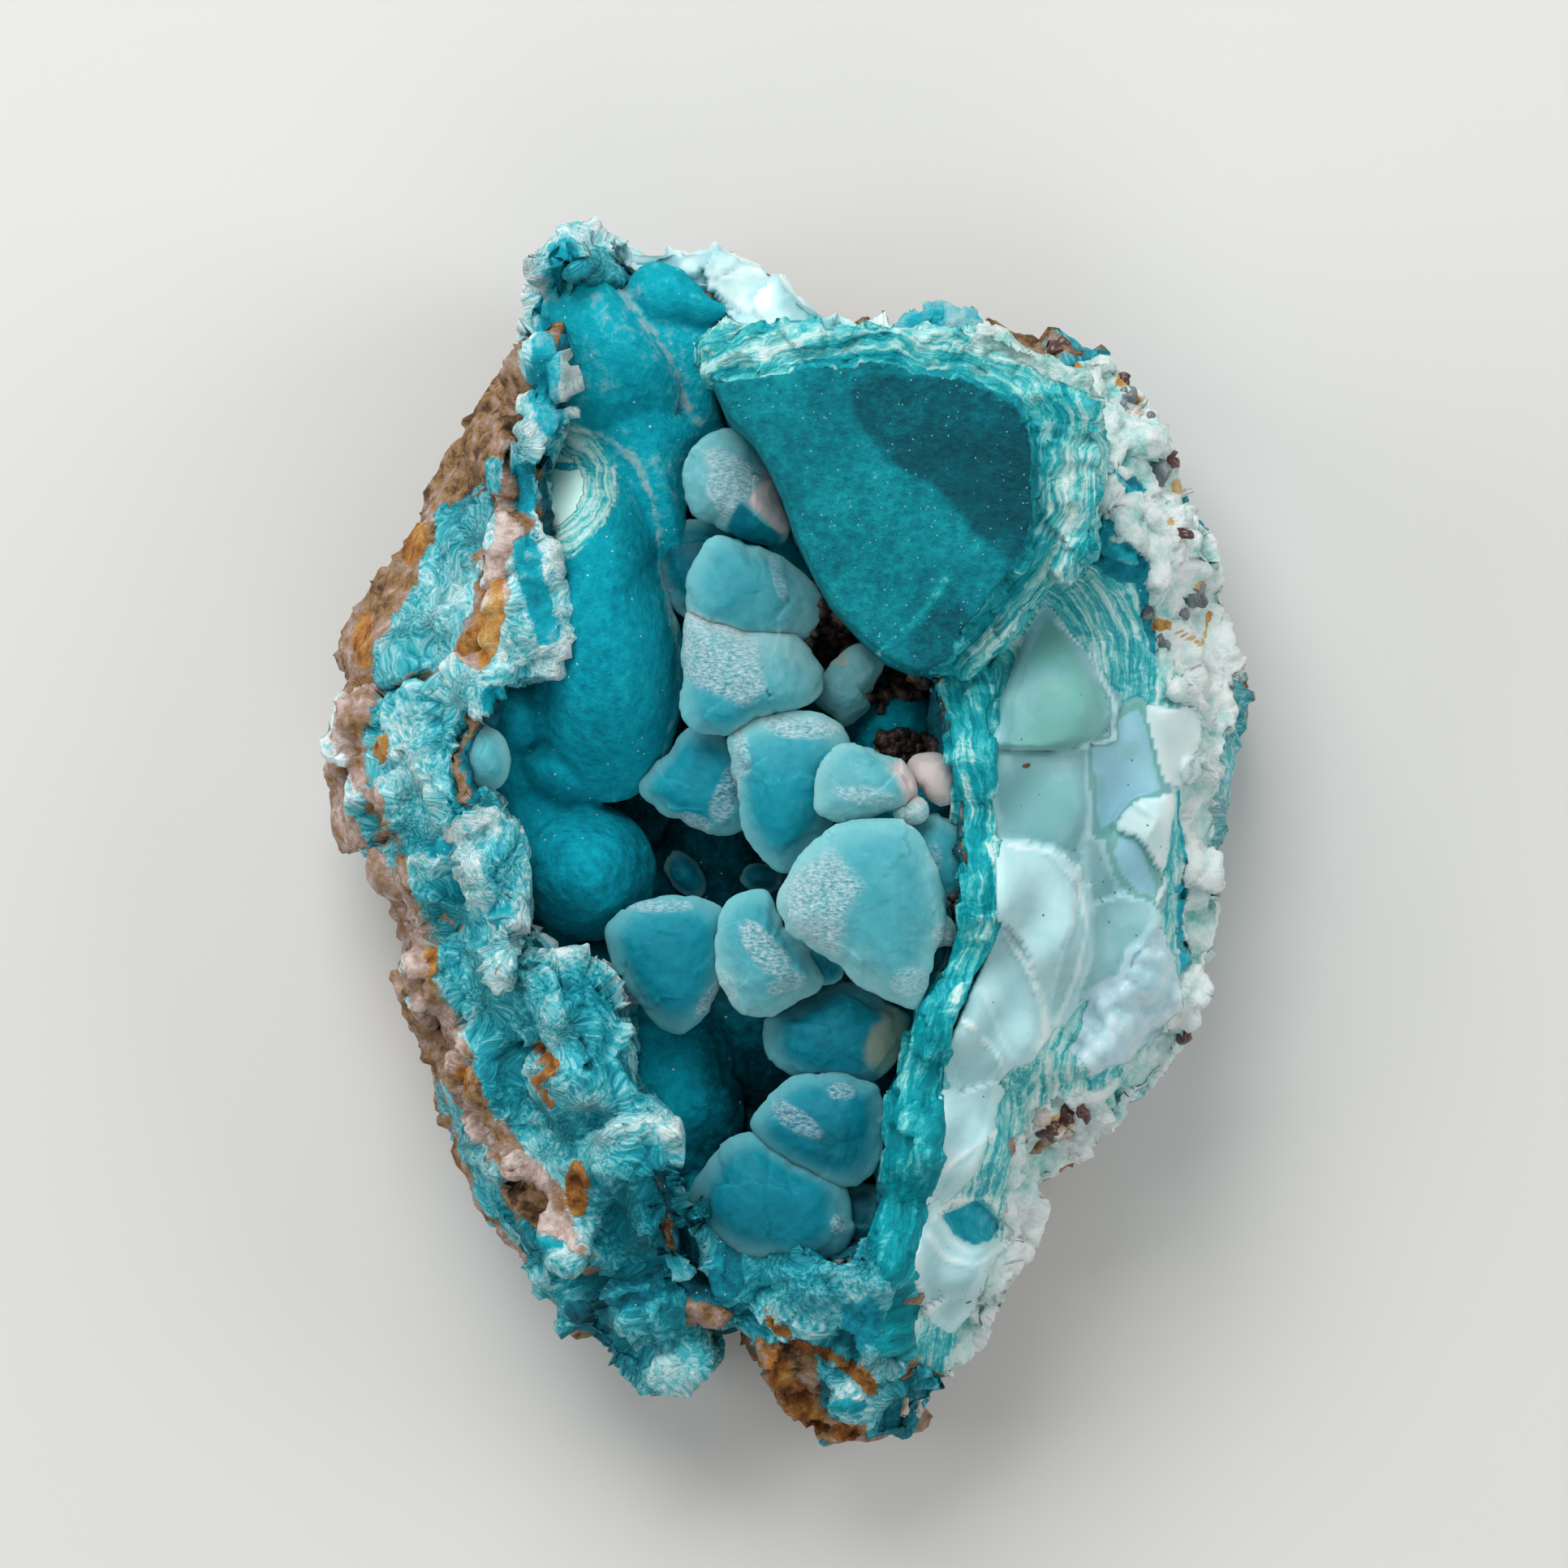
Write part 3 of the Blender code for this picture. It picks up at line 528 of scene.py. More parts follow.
class Clay:
    """A working mesh in millimetres, shaped with mesh operators before it is fused."""

    def __init__(self) -> None:
        """Start with nothing."""
        self.form = bmesh.new()

    def slab(self, outline: Outline, levels: tuple[tuple[float, float], ...]) -> bmesh.types.BMFace:
        """Add a closed slab that follows an outline.

        Args:
            outline: The outline's corners.
            levels: The slab's heights from the lowest up, and the size of the outline at each.

        Returns:
            The slab's top face.
        """
        size = levels[0][1]
        corners = [self.form.verts.new((x * size, y * size, levels[0][0])) for x, y in outline]
        bottom = cap = self.form.faces.new(corners)
        for height, next_size in levels[1:]:
            grown = bmesh.ops.extrude_face_region(self.form, geom=[cap])
            if cap is not bottom:
                bmesh.ops.delete(self.form, geom=[cap], context="FACES_ONLY")
            cap = next(part for part in grown["geom"] if isinstance(part, bmesh.types.BMFace))
            for corner in cap.verts:
                corner.co = (corner.co.x * next_size / size, corner.co.y * next_size / size, height)
            size = next_size
        return cap

    def lump(self, middle: Triple, radii: Triple, turn: Triple = (0.0, 0.0, 0.0), detail: int = 4) -> None:
        """Add a rounded lump.

        Args:
            middle: Its middle.
            radii: Its three half sizes.
            turn: Its turn about X, Y and Z, in radians.
            detail: How finely the ball that it starts from is divided.
        """
        place = Matrix.Translation(middle) @ Euler(turn).to_matrix().to_4x4()
        stretch = Matrix.Diagonal((*radii, 1.0))
        bmesh.ops.create_icosphere(self.form, subdivisions=detail, radius=1.0, matrix=place @ stretch)

    def chunk(self, middle: Triple, size: Triple, turn: Triple = (0.0, 0.0, 0.0)) -> None:
        """Add a squared chunk.

        Args:
            middle: Its middle.
            size: Its three full sizes.
            turn: Its turn about X, Y and Z, in radians.
        """
        place = Matrix.Translation(middle) @ Euler(turn).to_matrix().to_4x4()
        bmesh.ops.create_cube(self.form, size=1.0, matrix=place @ Matrix.Diagonal((*size, 1.0)))


class Sculpture:
    """A mesh object in millimetres that is fused, pushed and masked, and then finished as a piece."""

    def __init__(self, name: str, clay: Clay) -> None:
        """Make the object.

        Args:
            name: The piece's name.
            clay: The forms that it is made of. They can't be used again.
        """
        bmesh.ops.recalc_face_normals(clay.form, faces=clay.form.faces)
        mesh = bpy.data.meshes.new(name)
        clay.form.to_mesh(mesh)
        clay.form.free()
        self.thing = bpy.data.objects.new(name, mesh)
        bpy.context.scene.collection.objects.link(self.thing)

    def modify(self, kind: str, **settings: object) -> None:
        """Apply one modifier.

        Args:
            kind: The modifier's type.
            **settings: Its settings.
        """
        modifier = self.thing.modifiers.new(kind, kind)
        for name, value in settings.items():
            setattr(modifier, name, value)
        bpy.context.view_layer.update()
        evaluated = self.thing.evaluated_get(bpy.context.evaluated_depsgraph_get())
        mesh = bpy.data.meshes.new_from_object(evaluated)
        self.thing.modifiers.clear()
        self.thing.data = mesh

    def fuse(self, mesh: Mesh) -> None:
        """Join everything into one skin of small squares."""
        self.modify("REMESH", mode="VOXEL", voxel_size=mesh.value)

    def cut(self, cutter: "Sculpture") -> None:
        """Cut another sculpture out of this one and remove it."""
        self.modify("BOOLEAN", operation="DIFFERENCE", solver="EXACT", object=cutter.thing)
        bpy.data.objects.remove(cutter.thing)

    def crop(self, height: float) -> None:
        """Cut off flat what is below a height.

        Args:
            height: Height of the cut, in millimetres.
        """
        form = bmesh.new()
        form.from_mesh(self.thing.data)
        cut = bmesh.ops.bisect_plane(
            form, geom=[*form.verts, *form.edges, *form.faces],
            plane_co=(0.0, 0.0, height), plane_no=(0.0, 0.0, 1.0), clear_inner=True,
        )
        edges = [part for part in cut["geom_cut"] if isinstance(part, bmesh.types.BMEdge)]
        filled = bmesh.ops.holes_fill(form, edges=edges)
        bmesh.ops.triangulate(form, faces=filled["faces"])
        form.to_mesh(self.thing.data)
        form.free()

    def points(self) -> Array:
        """Every vertex's place, in millimetres."""
        flat = np.empty(len(self.thing.data.vertices) * 3)
        self.thing.data.vertices.foreach_get("co", flat)
        return flat.reshape(-1, 3)

    def normals(self) -> Array:
        """Every vertex's normal."""
        flat = np.empty(len(self.thing.data.vertices) * 3)
        self.thing.data.vertex_normals.foreach_get("vector", flat)
        return flat.reshape(-1, 3)

    def place(self, points: Array) -> None:
        """Move every vertex to a new place."""
        self.thing.data.vertices.foreach_set("co", points.ravel())
        self.thing.data.update()

    def push(self, distances: Array) -> None:
        """Move every vertex along its normal."""
        self.place(self.points() + self.normals() * distances[:, None])

    def mark(self, name: str, values: Array) -> None:
        """Store a number or a vector for every vertex, for the materials to read.

        Args:
            name: The attribute's name.
            values: One number, or three, for each vertex.
        """
        kind, key = ("FLOAT", "value") if values.ndim == 1 else ("FLOAT_VECTOR", "vector")
        attribute = self.thing.data.attributes.new(name, kind, "POINT")
        attribute.data.foreach_set(key, values.ravel().astype(np.float32))

    def finish(self, material: bpy.types.Material, node: Node, slot: Slot) -> None:
        """Scale the mesh to metres, dress it, hang it on the body and hide the solid that it stands for.

        Args:
            material: Its material.
            node: The solid that it replaces.
            slot: The record's slot for its finish. Not used.
        """
        mesh = self.thing.data
        mesh.transform(Matrix.Scale(MILLIMETRE, 4))
        mesh.materials.clear()
        mesh.materials.append(material)
        mesh.shade_smooth()
        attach(self.thing, BODY)
        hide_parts(node.value)
        mesh.calc_loop_triangles()
        log.info("%s: %d triangles", self.thing.name, len(mesh.loop_triangles))


@dataclass(frozen=True)
class Dome:
    """A body that bulges out of the face, such as a curved crystal or a rounded lobe.

    Attributes:
        outline: Its outline seen from the front, clockwise.
        rim: Height of its rim above the back.
        bulge: How far its face stands above the rim.
        depth: How far its body reaches down below the rim.
        rise: How fast the face rises to the right and up.
        tone: How deep its colour is in the middle, from 0 to 1.
        edge: How deep its colour is at the rim. A rim paler than the middle is painted light, the glow of a thin rim
            that light shines through.
        lean: How much deeper the colour gets to the right and up.
        flat: How flat the face is: 2 is round, and more is flatter.
    """

    outline: Outline
    rim: float
    bulge: float
    depth: float
    rise: tuple[float, float] = (0.0, 0.0)
    tone: float = 0.5
    edge: float = 0.5
    lean: tuple[float, float] = (0.0, 0.0)
    flat: float = 2.6

    def middle(self) -> Array:
        """The middle of the outline."""
        return np.mean(self.outline, axis=0)

    def width(self) -> float:
        """The outline's longer side."""
        return float(np.ptp(self.outline, axis=0).max())

    def radius(self, angles: Array) -> Array:
        """How far the outline is from the middle in each direction, slightly rounded at its corners.

        Args:
            angles: Directions, in radians.

        Returns:
            Distances, in millimetres.
        """
        spokes = np.array(self.outline) - self.middle()
        turns = np.arctan2(spokes[:, 1], spokes[:, 0])
        order = np.argsort(turns)
        lengths = np.linalg.norm(spokes, axis=1)[order]
        spread = 0.05 if self.width() > 5.0 else 0.4
        steps = np.linspace(-spread, spread, 7)
        return np.mean([np.interp(angles + step, turns[order], lengths, period=math.tau) for step in steps], axis=0)

    def bend(self, cube: Array) -> tuple[Array, Array, Array]:
        """Bend the points of a cube into the body.

        Args:
            cube: Points of a cube around the origin.

        Returns:
            The body's points in millimetres, each one's share of the way from the middle to the rim, and
            how deep its colour is.
        """
        ball = cube / np.linalg.norm(cube, axis=1, keepdims=True)
        polar = np.arccos(np.clip(ball[:, 2], -1.0, 1.0)) / (math.pi / 2.0)
        reach = np.where(polar <= 1.0, polar, 2.0 - polar)
        angles = np.arctan2(ball[:, 1], ball[:, 0])
        rays = np.stack([np.cos(angles), np.sin(angles)], axis=1)
        away = rays * (reach * self.radius(angles))[:, None]
        front = self.bulge * (1.0 - reach ** self.flat)
        behind = -self.depth * (1.0 - reach) ** 0.75
        height = self.rim + away @ np.array(self.rise) + np.where(polar <= 1.0, front, behind)
        # Painted light: the colour pales from the middle towards the rim, for the glow of light through thin rims.
        tone = self.tone + (self.edge - self.tone) * reach ** 3.0 + away @ np.array(self.lean) / 3.0
        return np.column_stack([away + self.middle(), height]), reach, tone

    def cuts(self) -> int:
        """How finely the cube that the body starts from is divided."""
        return 33 if self.width() > 5.0 else 13


def add_domes(domes: tuple[Dome, ...], clay: Clay) -> tuple[Array, Array, Array]:
    """Add a cube for each dome and work out where its points go.

    Args:
        domes: The domes.
        clay: The working mesh, with nothing else in it.

    Returns:
        The points in millimetres, their shares of the way to the rim, and how deep their colours are.
    """
    points, reaches, tones = [], [], []
    for dome in domes:
        before = len(clay.form.verts)
        bmesh.ops.create_cube(clay.form, size=2.0)
        clay.form.verts.ensure_lookup_table()
        edges = list({edge for corner in clay.form.verts[before:] for edge in corner.link_edges})
        bmesh.ops.subdivide_edges(clay.form, edges=edges, cuts=dome.cuts(), use_grid_fill=True)
        clay.form.verts.ensure_lookup_table()
        cube = np.array([corner.co for corner in clay.form.verts[before:]])
        bent, reach, tone = dome.bend(cube)
        for corner, place in zip(clay.form.verts[before:], bent):
            corner.co = place
        points.append(bent)
        reaches.append(reach)
        tones.append(tone)
    return np.concatenate(points), np.concatenate(reaches), np.concatenate(tones)


# Places of the colour mix node's sockets, which share their names with its other kinds.
MIX_SHARE, MIX_FIRST, MIX_SECOND, MIX_RESULT = 0, 6, 7, 2


def linear(colour: str) -> tuple[float, float, float, float]:
    """Turn an sRGB hex colour into the linear one that shaders use.

    Args:
        colour: Six hex digits after a hash sign.

    Returns:
        Red, green, blue and an alpha of 1.
    """
    parts = [int(colour[start:start + 2], 16) / 255.0 for start in (1, 3, 5)]
    low_end = [part / 12.92 for part in parts]
    curve = [((part + 0.055) / 1.055) ** 2.4 for part in parts]
    red, green, blue = (low if part <= 0.04045 else high for part, low, high in zip(parts, low_end, curve))
    return red, green, blue, 1.0


def add_node(tree: bpy.types.NodeTree, kind: str, links: dict | None = None, **settings: object) -> bpy.types.Node:
    """Add a node with its settings, values and links.

    Args:
        tree: The material's node tree.
        kind: The node's type, without its common beginning.
        links: For each input, by name or number, the socket that feeds it or its value.
        **settings: The node's own settings. stops, on a colour ramp, is its places and colours.

    Returns:
        The new node.
    """
    node = tree.nodes.new("ShaderNode" + kind)
    stops = settings.pop("stops", ())
    for name, value in settings.items():
        setattr(node, name, value)
    for index, (place, colour) in enumerate(stops):
        ramp = node.color_ramp.elements
        stop = ramp[index] if index < len(ramp) else ramp.new(place)
        stop.position, stop.color = place, linear(colour)
    for name, value in (links or {}).items():
        if isinstance(value, bpy.types.NodeSocket):
            tree.links.new(value, node.inputs[name])
        else:
            node.inputs[name].default_value = value
    return node


class Pattern(Enum):
    """How the fine pattern of a mineral runs."""

    GRAIN = "the same in every direction"
    SPRAY = "needles that fan out from many points"
    BANDS = "layers that follow the attribute rind, with fibres across them"
    SCALES = "short flakes that lie one way"


@dataclass(frozen=True)
class Coat:
    """What one mineral gives to a material: its colour, its roughness and its relief in millimetres."""

    colour: bpy.types.NodeSocket
    rough: float
    height: bpy.types.NodeSocket


@dataclass(frozen=True)
class Mineral:
    """How one mineral looks. The attribute tone, from 0 to 1, picks its colour at each place.

    Attributes:
        stops: Tones and their colours.
        pattern: How its fine pattern runs.
        size: Width of the pattern's largest features, in millimetres.
        contrast: How far the pattern shifts the tone.
        relief: Height of the pattern, in millimetres.
        rough: The surface's roughness.
        detail: How many finer layers the pattern has.
        speck: Colour of small scattered specks.
        spacing: How far apart the specks are, in millimetres.
        dot: Their radius, in millimetres.
        share: How many of the places for specks have one.
    """

    stops: tuple[tuple[float, str], ...]
    pattern: Pattern = Pattern.GRAIN
    size: float = 1.0
    contrast: float = 1.0
    relief: float = 0.1
    rough: float = 0.5
    detail: float = 4.0
    speck: str = ""
    spacing: float = 0.8
    dot: float = 0.1
    share: float = 0.3

    def run(self, tree: bpy.types.NodeTree, coords: bpy.types.NodeSocket) -> bpy.types.NodeSocket:
        """Build the fine pattern.

        Args:
            tree: The material's node tree.
            coords: Places on the piece, in millimetres.

        Returns:
            The pattern's value, about 0.5 on average.
        """
        fine = {"Scale": 1.0 / self.size, "Detail": self.detail, "Roughness": 0.68}
        if self.pattern is Pattern.SPRAY:
            wander = add_node(tree, "TexNoise", {"Vector": coords, "Scale": 0.35, "Detail": 1.0})
            warped = add_node(
                tree, "VectorMath", {0: wander.outputs["Color"], 1: (2.2,) * 3, 2: coords}, operation="MULTIPLY_ADD"
            )
            fan = add_node(tree, "TexVoronoi", {"Vector": warped.outputs[0], "Scale": 1.0 / self.size})
            ray = add_node(tree, "VectorMath", {0: warped.outputs[0], 1: fan.outputs["Position"]}, operation="SUBTRACT")
            aim = add_node(tree, "VectorMath", {0: ray.outputs[0]}, operation="NORMALIZE")
            spin = add_node(tree, "VectorMath", {0: fan.outputs["Color"], "Scale": 9.0}, operation="SCALE")
            coords = add_node(
                tree, "VectorMath", {0: aim.outputs[0], 1: (7.0,) * 3, 2: spin.outputs[0]}, operation="MULTIPLY_ADD"
            ).outputs[0]
            fine["Scale"] = 1.0
        elif self.pattern is Pattern.BANDS:
            rind = add_node(tree, "Attribute", attribute_name="rind").outputs["Vector"]
            wander = add_node(tree, "TexNoise", {"Vector": coords, "Scale": 0.5, "Detail": 3.0}).outputs["Color"]
            rind = add_node(
                tree, "VectorMath", {0: wander, 1: (1.3, 4.0, 2.0), 2: rind}, operation="MULTIPLY_ADD"
            ).outputs[0]
            fibres = add_node(tree, "VectorMath", {0: rind, 1: (0.8, 2.6, 1.2)}, operation="MULTIPLY")
            coords = add_node(tree, "VectorMath", {0: rind, 1: (1.5, 0.14, 0.3)}, operation="MULTIPLY").outputs[0]
            across = add_node(tree, "TexNoise", {"Vector": fibres.outputs[0], "Scale": 1.0, "Detail": 3.0})
        elif self.pattern is Pattern.SCALES:
            coords = add_node(
                tree, "Mapping", {"Vector": coords, "Rotation": (0.0, 0.0, 0.9), "Scale": (1.0, 2.4, 1.4)}
            ).outputs[0]
        noise = add_node(tree, "TexNoise", {"Vector": coords, **fine}).outputs["Fac"]
        if self.pattern is Pattern.BANDS:
            both = {0: noise, 1: 0.76, 2: 0.0}
            part = add_node(tree, "Math", both, operation="MULTIPLY_ADD")
            both = {0: across.outputs["Fac"], 1: 0.24, 2: part.outputs[0]}
            noise = add_node(tree, "Math", both, operation="MULTIPLY_ADD").outputs[0]
        return noise

    def lay(self, tree: bpy.types.NodeTree, coords: bpy.types.NodeSocket) -> Coat:
        """Build the mineral's colour and relief.

        Args:
            tree: The material's node tree.
            coords: Places on the piece, in millimetres.

        Returns:
            The mineral's coat.
        """
        noise = self.run(tree, coords)
        tone = add_node(tree, "Attribute", attribute_name="tone").outputs["Fac"]
        base = add_node(tree, "Math", {0: tone, 1: self.contrast / 2.0}, operation="SUBTRACT")
        shifted = add_node(tree, "Math", {0: noise, 1: self.contrast, 2: base.outputs[0]}, operation="MULTIPLY_ADD")
        colour = add_node(tree, "ValToRGB", {"Fac": shifted.outputs[0]}, stops=self.stops).outputs["Color"]
        if self.speck:
            spots = add_node(
                tree, "TexVoronoi", {"Vector": coords, "Scale": 1.0 / self.spacing}, distance="MANHATTAN"
            )
            radius = self.dot / self.spacing
            near = add_node(
                tree, "MapRange", {"Value": spots.outputs["Distance"], "From Min": radius, "From Max": radius * 0.6}
            )
            some = add_node(
                tree, "Math", {0: spots.outputs["Color"], 1: 0.28 + 0.44 * (1.0 - self.share)}, operation="GREATER_THAN"
            )
            shown = add_node(tree, "Math", {0: near.outputs[0], 1: some.outputs[0]}, operation="MULTIPLY")
            colour = add_node(
                tree, "Mix", {MIX_SHARE: shown.outputs[0], MIX_FIRST: colour, MIX_SECOND: linear(self.speck)},
                data_type="RGBA",
            ).outputs[MIX_RESULT]
        height = add_node(tree, "Math", {0: noise, 1: self.relief}, operation="MULTIPLY").outputs[0]
        return Coat(colour, self.rough, height)


# Aurichalcite in silky sprays: fine needles that fan out from many points and shine white on turquoise.
SILKY_SPRAY = Mineral(
    ((0.0, "#00707F"), (0.25, "#0594A6"), (0.45, "#44BAC6"), (0.68, "#9FDBE0"), (0.95, "#EDF9F8")),
    Pattern.SPRAY, size=4.6, contrast=1.7, relief=0.4, rough=0.5, detail=4.0,
)
# The felt of tiny blue-green needles on rounded lobes: matt, mottled, with a few needles whose white glint is painted
# as specks in the colour.
TEAL_VELVET = Mineral(
    ((0.0, "#01303A"), (0.22, "#006677"), (0.5, "#009AB0"), (0.74, "#10B6C8"), (1.0, "#9CCBD2")),
    size=0.7, contrast=0.9, relief=0.36, rough=0.8, detail=7.0, speck="#CDEDF0", spacing=0.8, dot=0.13, share=0.42,
)
# The same felt on the block's broken face: darker and greener, with more painted glints.
BLOCK_VELVET = Mineral(
    ((0.0, "#004450"), (0.3, "#005F6C"), (0.55, "#008593"), (0.8, "#12AAB2"), (1.0, "#DDF1F0")),
    size=0.6, contrast=0.9, relief=0.4, rough=0.7, detail=7.0, speck="#9FD3D6", spacing=0.4, dot=0.08, share=0.6,
)
# Aurichalcite laid down in thin layers: teal and white bands with silky fibres across them.
BANDED_RIND = Mineral(
    ((0.0, "#007783"), (0.36, "#009BA7"), (0.55, "#45BCC0"), (0.76, "#B4E2DE"), (1.0, "#EBF8F5")),
    Pattern.BANDS, size=0.9, contrast=2.6, relief=0.45, rough=0.55, detail=5.0,
)
# Fine-grained smithsonite that broke like a shell: smooth waxy faces in pastel blue and mint, peppered
# with tiny dark specks. Its tones run from blue over grey-green and aqua to white.
MINT_SHELL = Mineral(
    ((0.0, "#93C8D8"), (0.2, "#6FB0A8"), (0.4, "#7BB2B7"), (0.7, "#B6DFE3"), (1.0, "#E6F5F2")),
    size=2.2, contrast=0.28, relief=0.08, rough=0.42, detail=6.0, speck="#4A483E", spacing=0.7, dot=0.12, share=0.22,
)
# Small round nodules of smithsonite with a soft pearly shine.
PEARLY_NODULES = Mineral(
    ((0.0, "#7FC0CC"), (0.5, "#A9D2DC"), (1.0, "#E3F0F2")), size=1.4, contrast=0.9, relief=0.1, rough=0.34,
)
# Weathered crust: chalky white and mint, with teal where it is worn or pitted.
CHALKY_CRUST = Mineral(
    ((0.0, "#0F8D98"), (0.2, "#55B9B9"), (0.42, "#9CD6D0"), (0.65, "#CBE9E5"), (1.0, "#F0F8F6")),
    size=1.5, contrast=2.2, relief=0.7, rough=0.7, detail=7.0, speck="#7A6A58", spacing=1.1, dot=0.1, share=0.16,
)
# Host rock: pinkish and grey quartz with brown limonite between its grains.
QUARTZ_ROCK = Mineral(
    ((0.0, "#2E211A"), (0.22, "#6E5238"), (0.4, "#A17C50"), (0.58, "#A88F82"), (0.8, "#CDB2A7"), (1.0, "#E6D6CD")),
    size=1.3, contrast=2.1, relief=0.6, rough=0.7, detail=7.0, speck="#2E221A", spacing=1.7, dot=0.14, share=0.25,
)
# Earthy limonite stain: strong ochre to rusty orange, dull and crumbly.
ORANGE_LIMONITE = Mineral(
    ((0.0, "#44281A"), (0.3, "#8A5226"), (0.55, "#B67B3A"), (0.8, "#CC9C58"), (1.0, "#DEC08C")),
    size=1.2, contrast=2.0, relief=0.6, rough=0.85, detail=7.0,
)
# Smoky quartz: glassy grains, from red-brown over grey to pink.
SMOKY_QUARTZ = Mineral(
    ((0.0, "#3A2420"), (0.25, "#6B4842"), (0.45, "#6E7378"), (0.65, "#93A0A2"), (1.0, "#D9BFB0")),
    size=0.9, contrast=0.5, relief=0.08, rough=0.22,
)
# Goethite: near-black brown crystals with a dull metallic shine.
GOETHITE = Mineral(
    ((0.0, "#1A1210"), (0.5, "#38271F"), (1.0, "#6B4C3C")), size=0.5, contrast=1.4, relief=0.2, rough=0.35,
)


class Stack:
    """A material built from a ground coat and further coats, each laid where its mask says."""

    def __init__(self, name: str, ground: Mineral) -> None:
        """Start with the ground coat.

        Args:
            name: The material's name.
            ground: The mineral that covers everything.
        """
        self.material = bpy.data.materials.new(name)
        self.material.use_nodes = True
        self.tree = self.material.node_tree
        self.shader = self.tree.nodes["Principled BSDF"]
        places = add_node(self.tree, "TexCoord").outputs["Object"]
        self.coords = add_node(
            self.tree, "VectorMath", {0: places, "Scale": 1.0 / MILLIMETRE}, operation="SCALE"
        ).outputs[0]
        self.wander = add_node(
            self.tree, "TexNoise", {"Vector": self.coords, "Scale": 1.2, "Detail": 5.0, "Roughness": 0.65}
        ).outputs["Fac"]
        coat = ground.lay(self.tree, self.coords)
        self.colour, self.height = coat.colour, coat.height
        self.rough: bpy.types.NodeSocket | float = coat.rough

    def share(self, mask: str, ragged: float) -> bpy.types.NodeSocket:
        """Read a mask and make its edge crisp.

        Args:
            mask: The attribute that holds it.
            ragged: How far the edge wanders, as a share of its blur.

        Returns:
            The mask, from 0 to 1.
        """
        value = add_node(self.tree, "Attribute", attribute_name=mask).outputs["Fac"]
        moved = add_node(self.tree, "Math", {0: self.wander, 1: ragged, 2: value}, operation="MULTIPLY_ADD")
        middle = 0.5 + 0.5 * ragged
        return add_node(
            self.tree, "MapRange", {"Value": moved.outputs[0], "From Min": middle - 0.14, "From Max": middle + 0.14}
        ).outputs[0]

    def cover(self, mineral: Mineral, mask: str, ragged: float = 1.6) -> "Stack":
        """Lay another coat.

        Args:
            mineral: The mineral of the coat.
            mask: The attribute that says where it lies.
            ragged: How far its edge wanders, as a share of its blur.

        Returns:
            This stack.
        """
        coat = mineral.lay(self.tree, self.coords)
        share = self.share(mask, ragged)
        self.colour = add_node(
            self.tree, "Mix", {MIX_SHARE: share, MIX_FIRST: self.colour, MIX_SECOND: coat.colour}, data_type="RGBA"
        ).outputs[MIX_RESULT]
        self.height = add_node(self.tree, "Mix", {0: share, 2: self.height, 3: coat.height}).outputs[0]
        self.rough = add_node(self.tree, "Mix", {0: share, 2: self.rough, 3: coat.rough}).outputs[0]
        return self

    def done(
        self, sheen: float = 0.0, glow: float = 0.0, bump: float = 1.0, gloss: float = 0.35
    ) -> bpy.types.Material:
        """Link the coats to the shader.

        Args:
            gloss: Strength of the mirror-like light, 0.5 being that of a clean smooth surface.
            sheen: Strength of the soft light at grazing angles.
            glow: How much light sinks in and spreads under the surface.
            bump: Strength of the relief.

        Returns:
            The material.
        """
        relief = add_node(
            self.tree, "Bump", {"Strength": bump, "Distance": MILLIMETRE, "Height": self.height}
        )
        self.tree.links.new(relief.outputs["Normal"], self.shader.inputs["Normal"])
        self.tree.links.new(self.colour, self.shader.inputs["Base Color"])
        if isinstance(self.rough, float):
            self.shader.inputs["Roughness"].default_value = self.rough
        else:
            self.tree.links.new(self.rough, self.shader.inputs["Roughness"])
        values = {
            "IOR": 1.55, "Specular IOR Level": gloss, "Sheen Weight": sheen, "Sheen Roughness": 0.35, "Sheen Tint": linear("#7FD3DC"),
            "Subsurface Weight": glow, "Subsurface Radius": (0.5, 1.0, 1.0), "Subsurface Scale": MILLIMETRE,
        }
        for name, value in values.items():
            self.shader.inputs[name].default_value = value
        return self.material


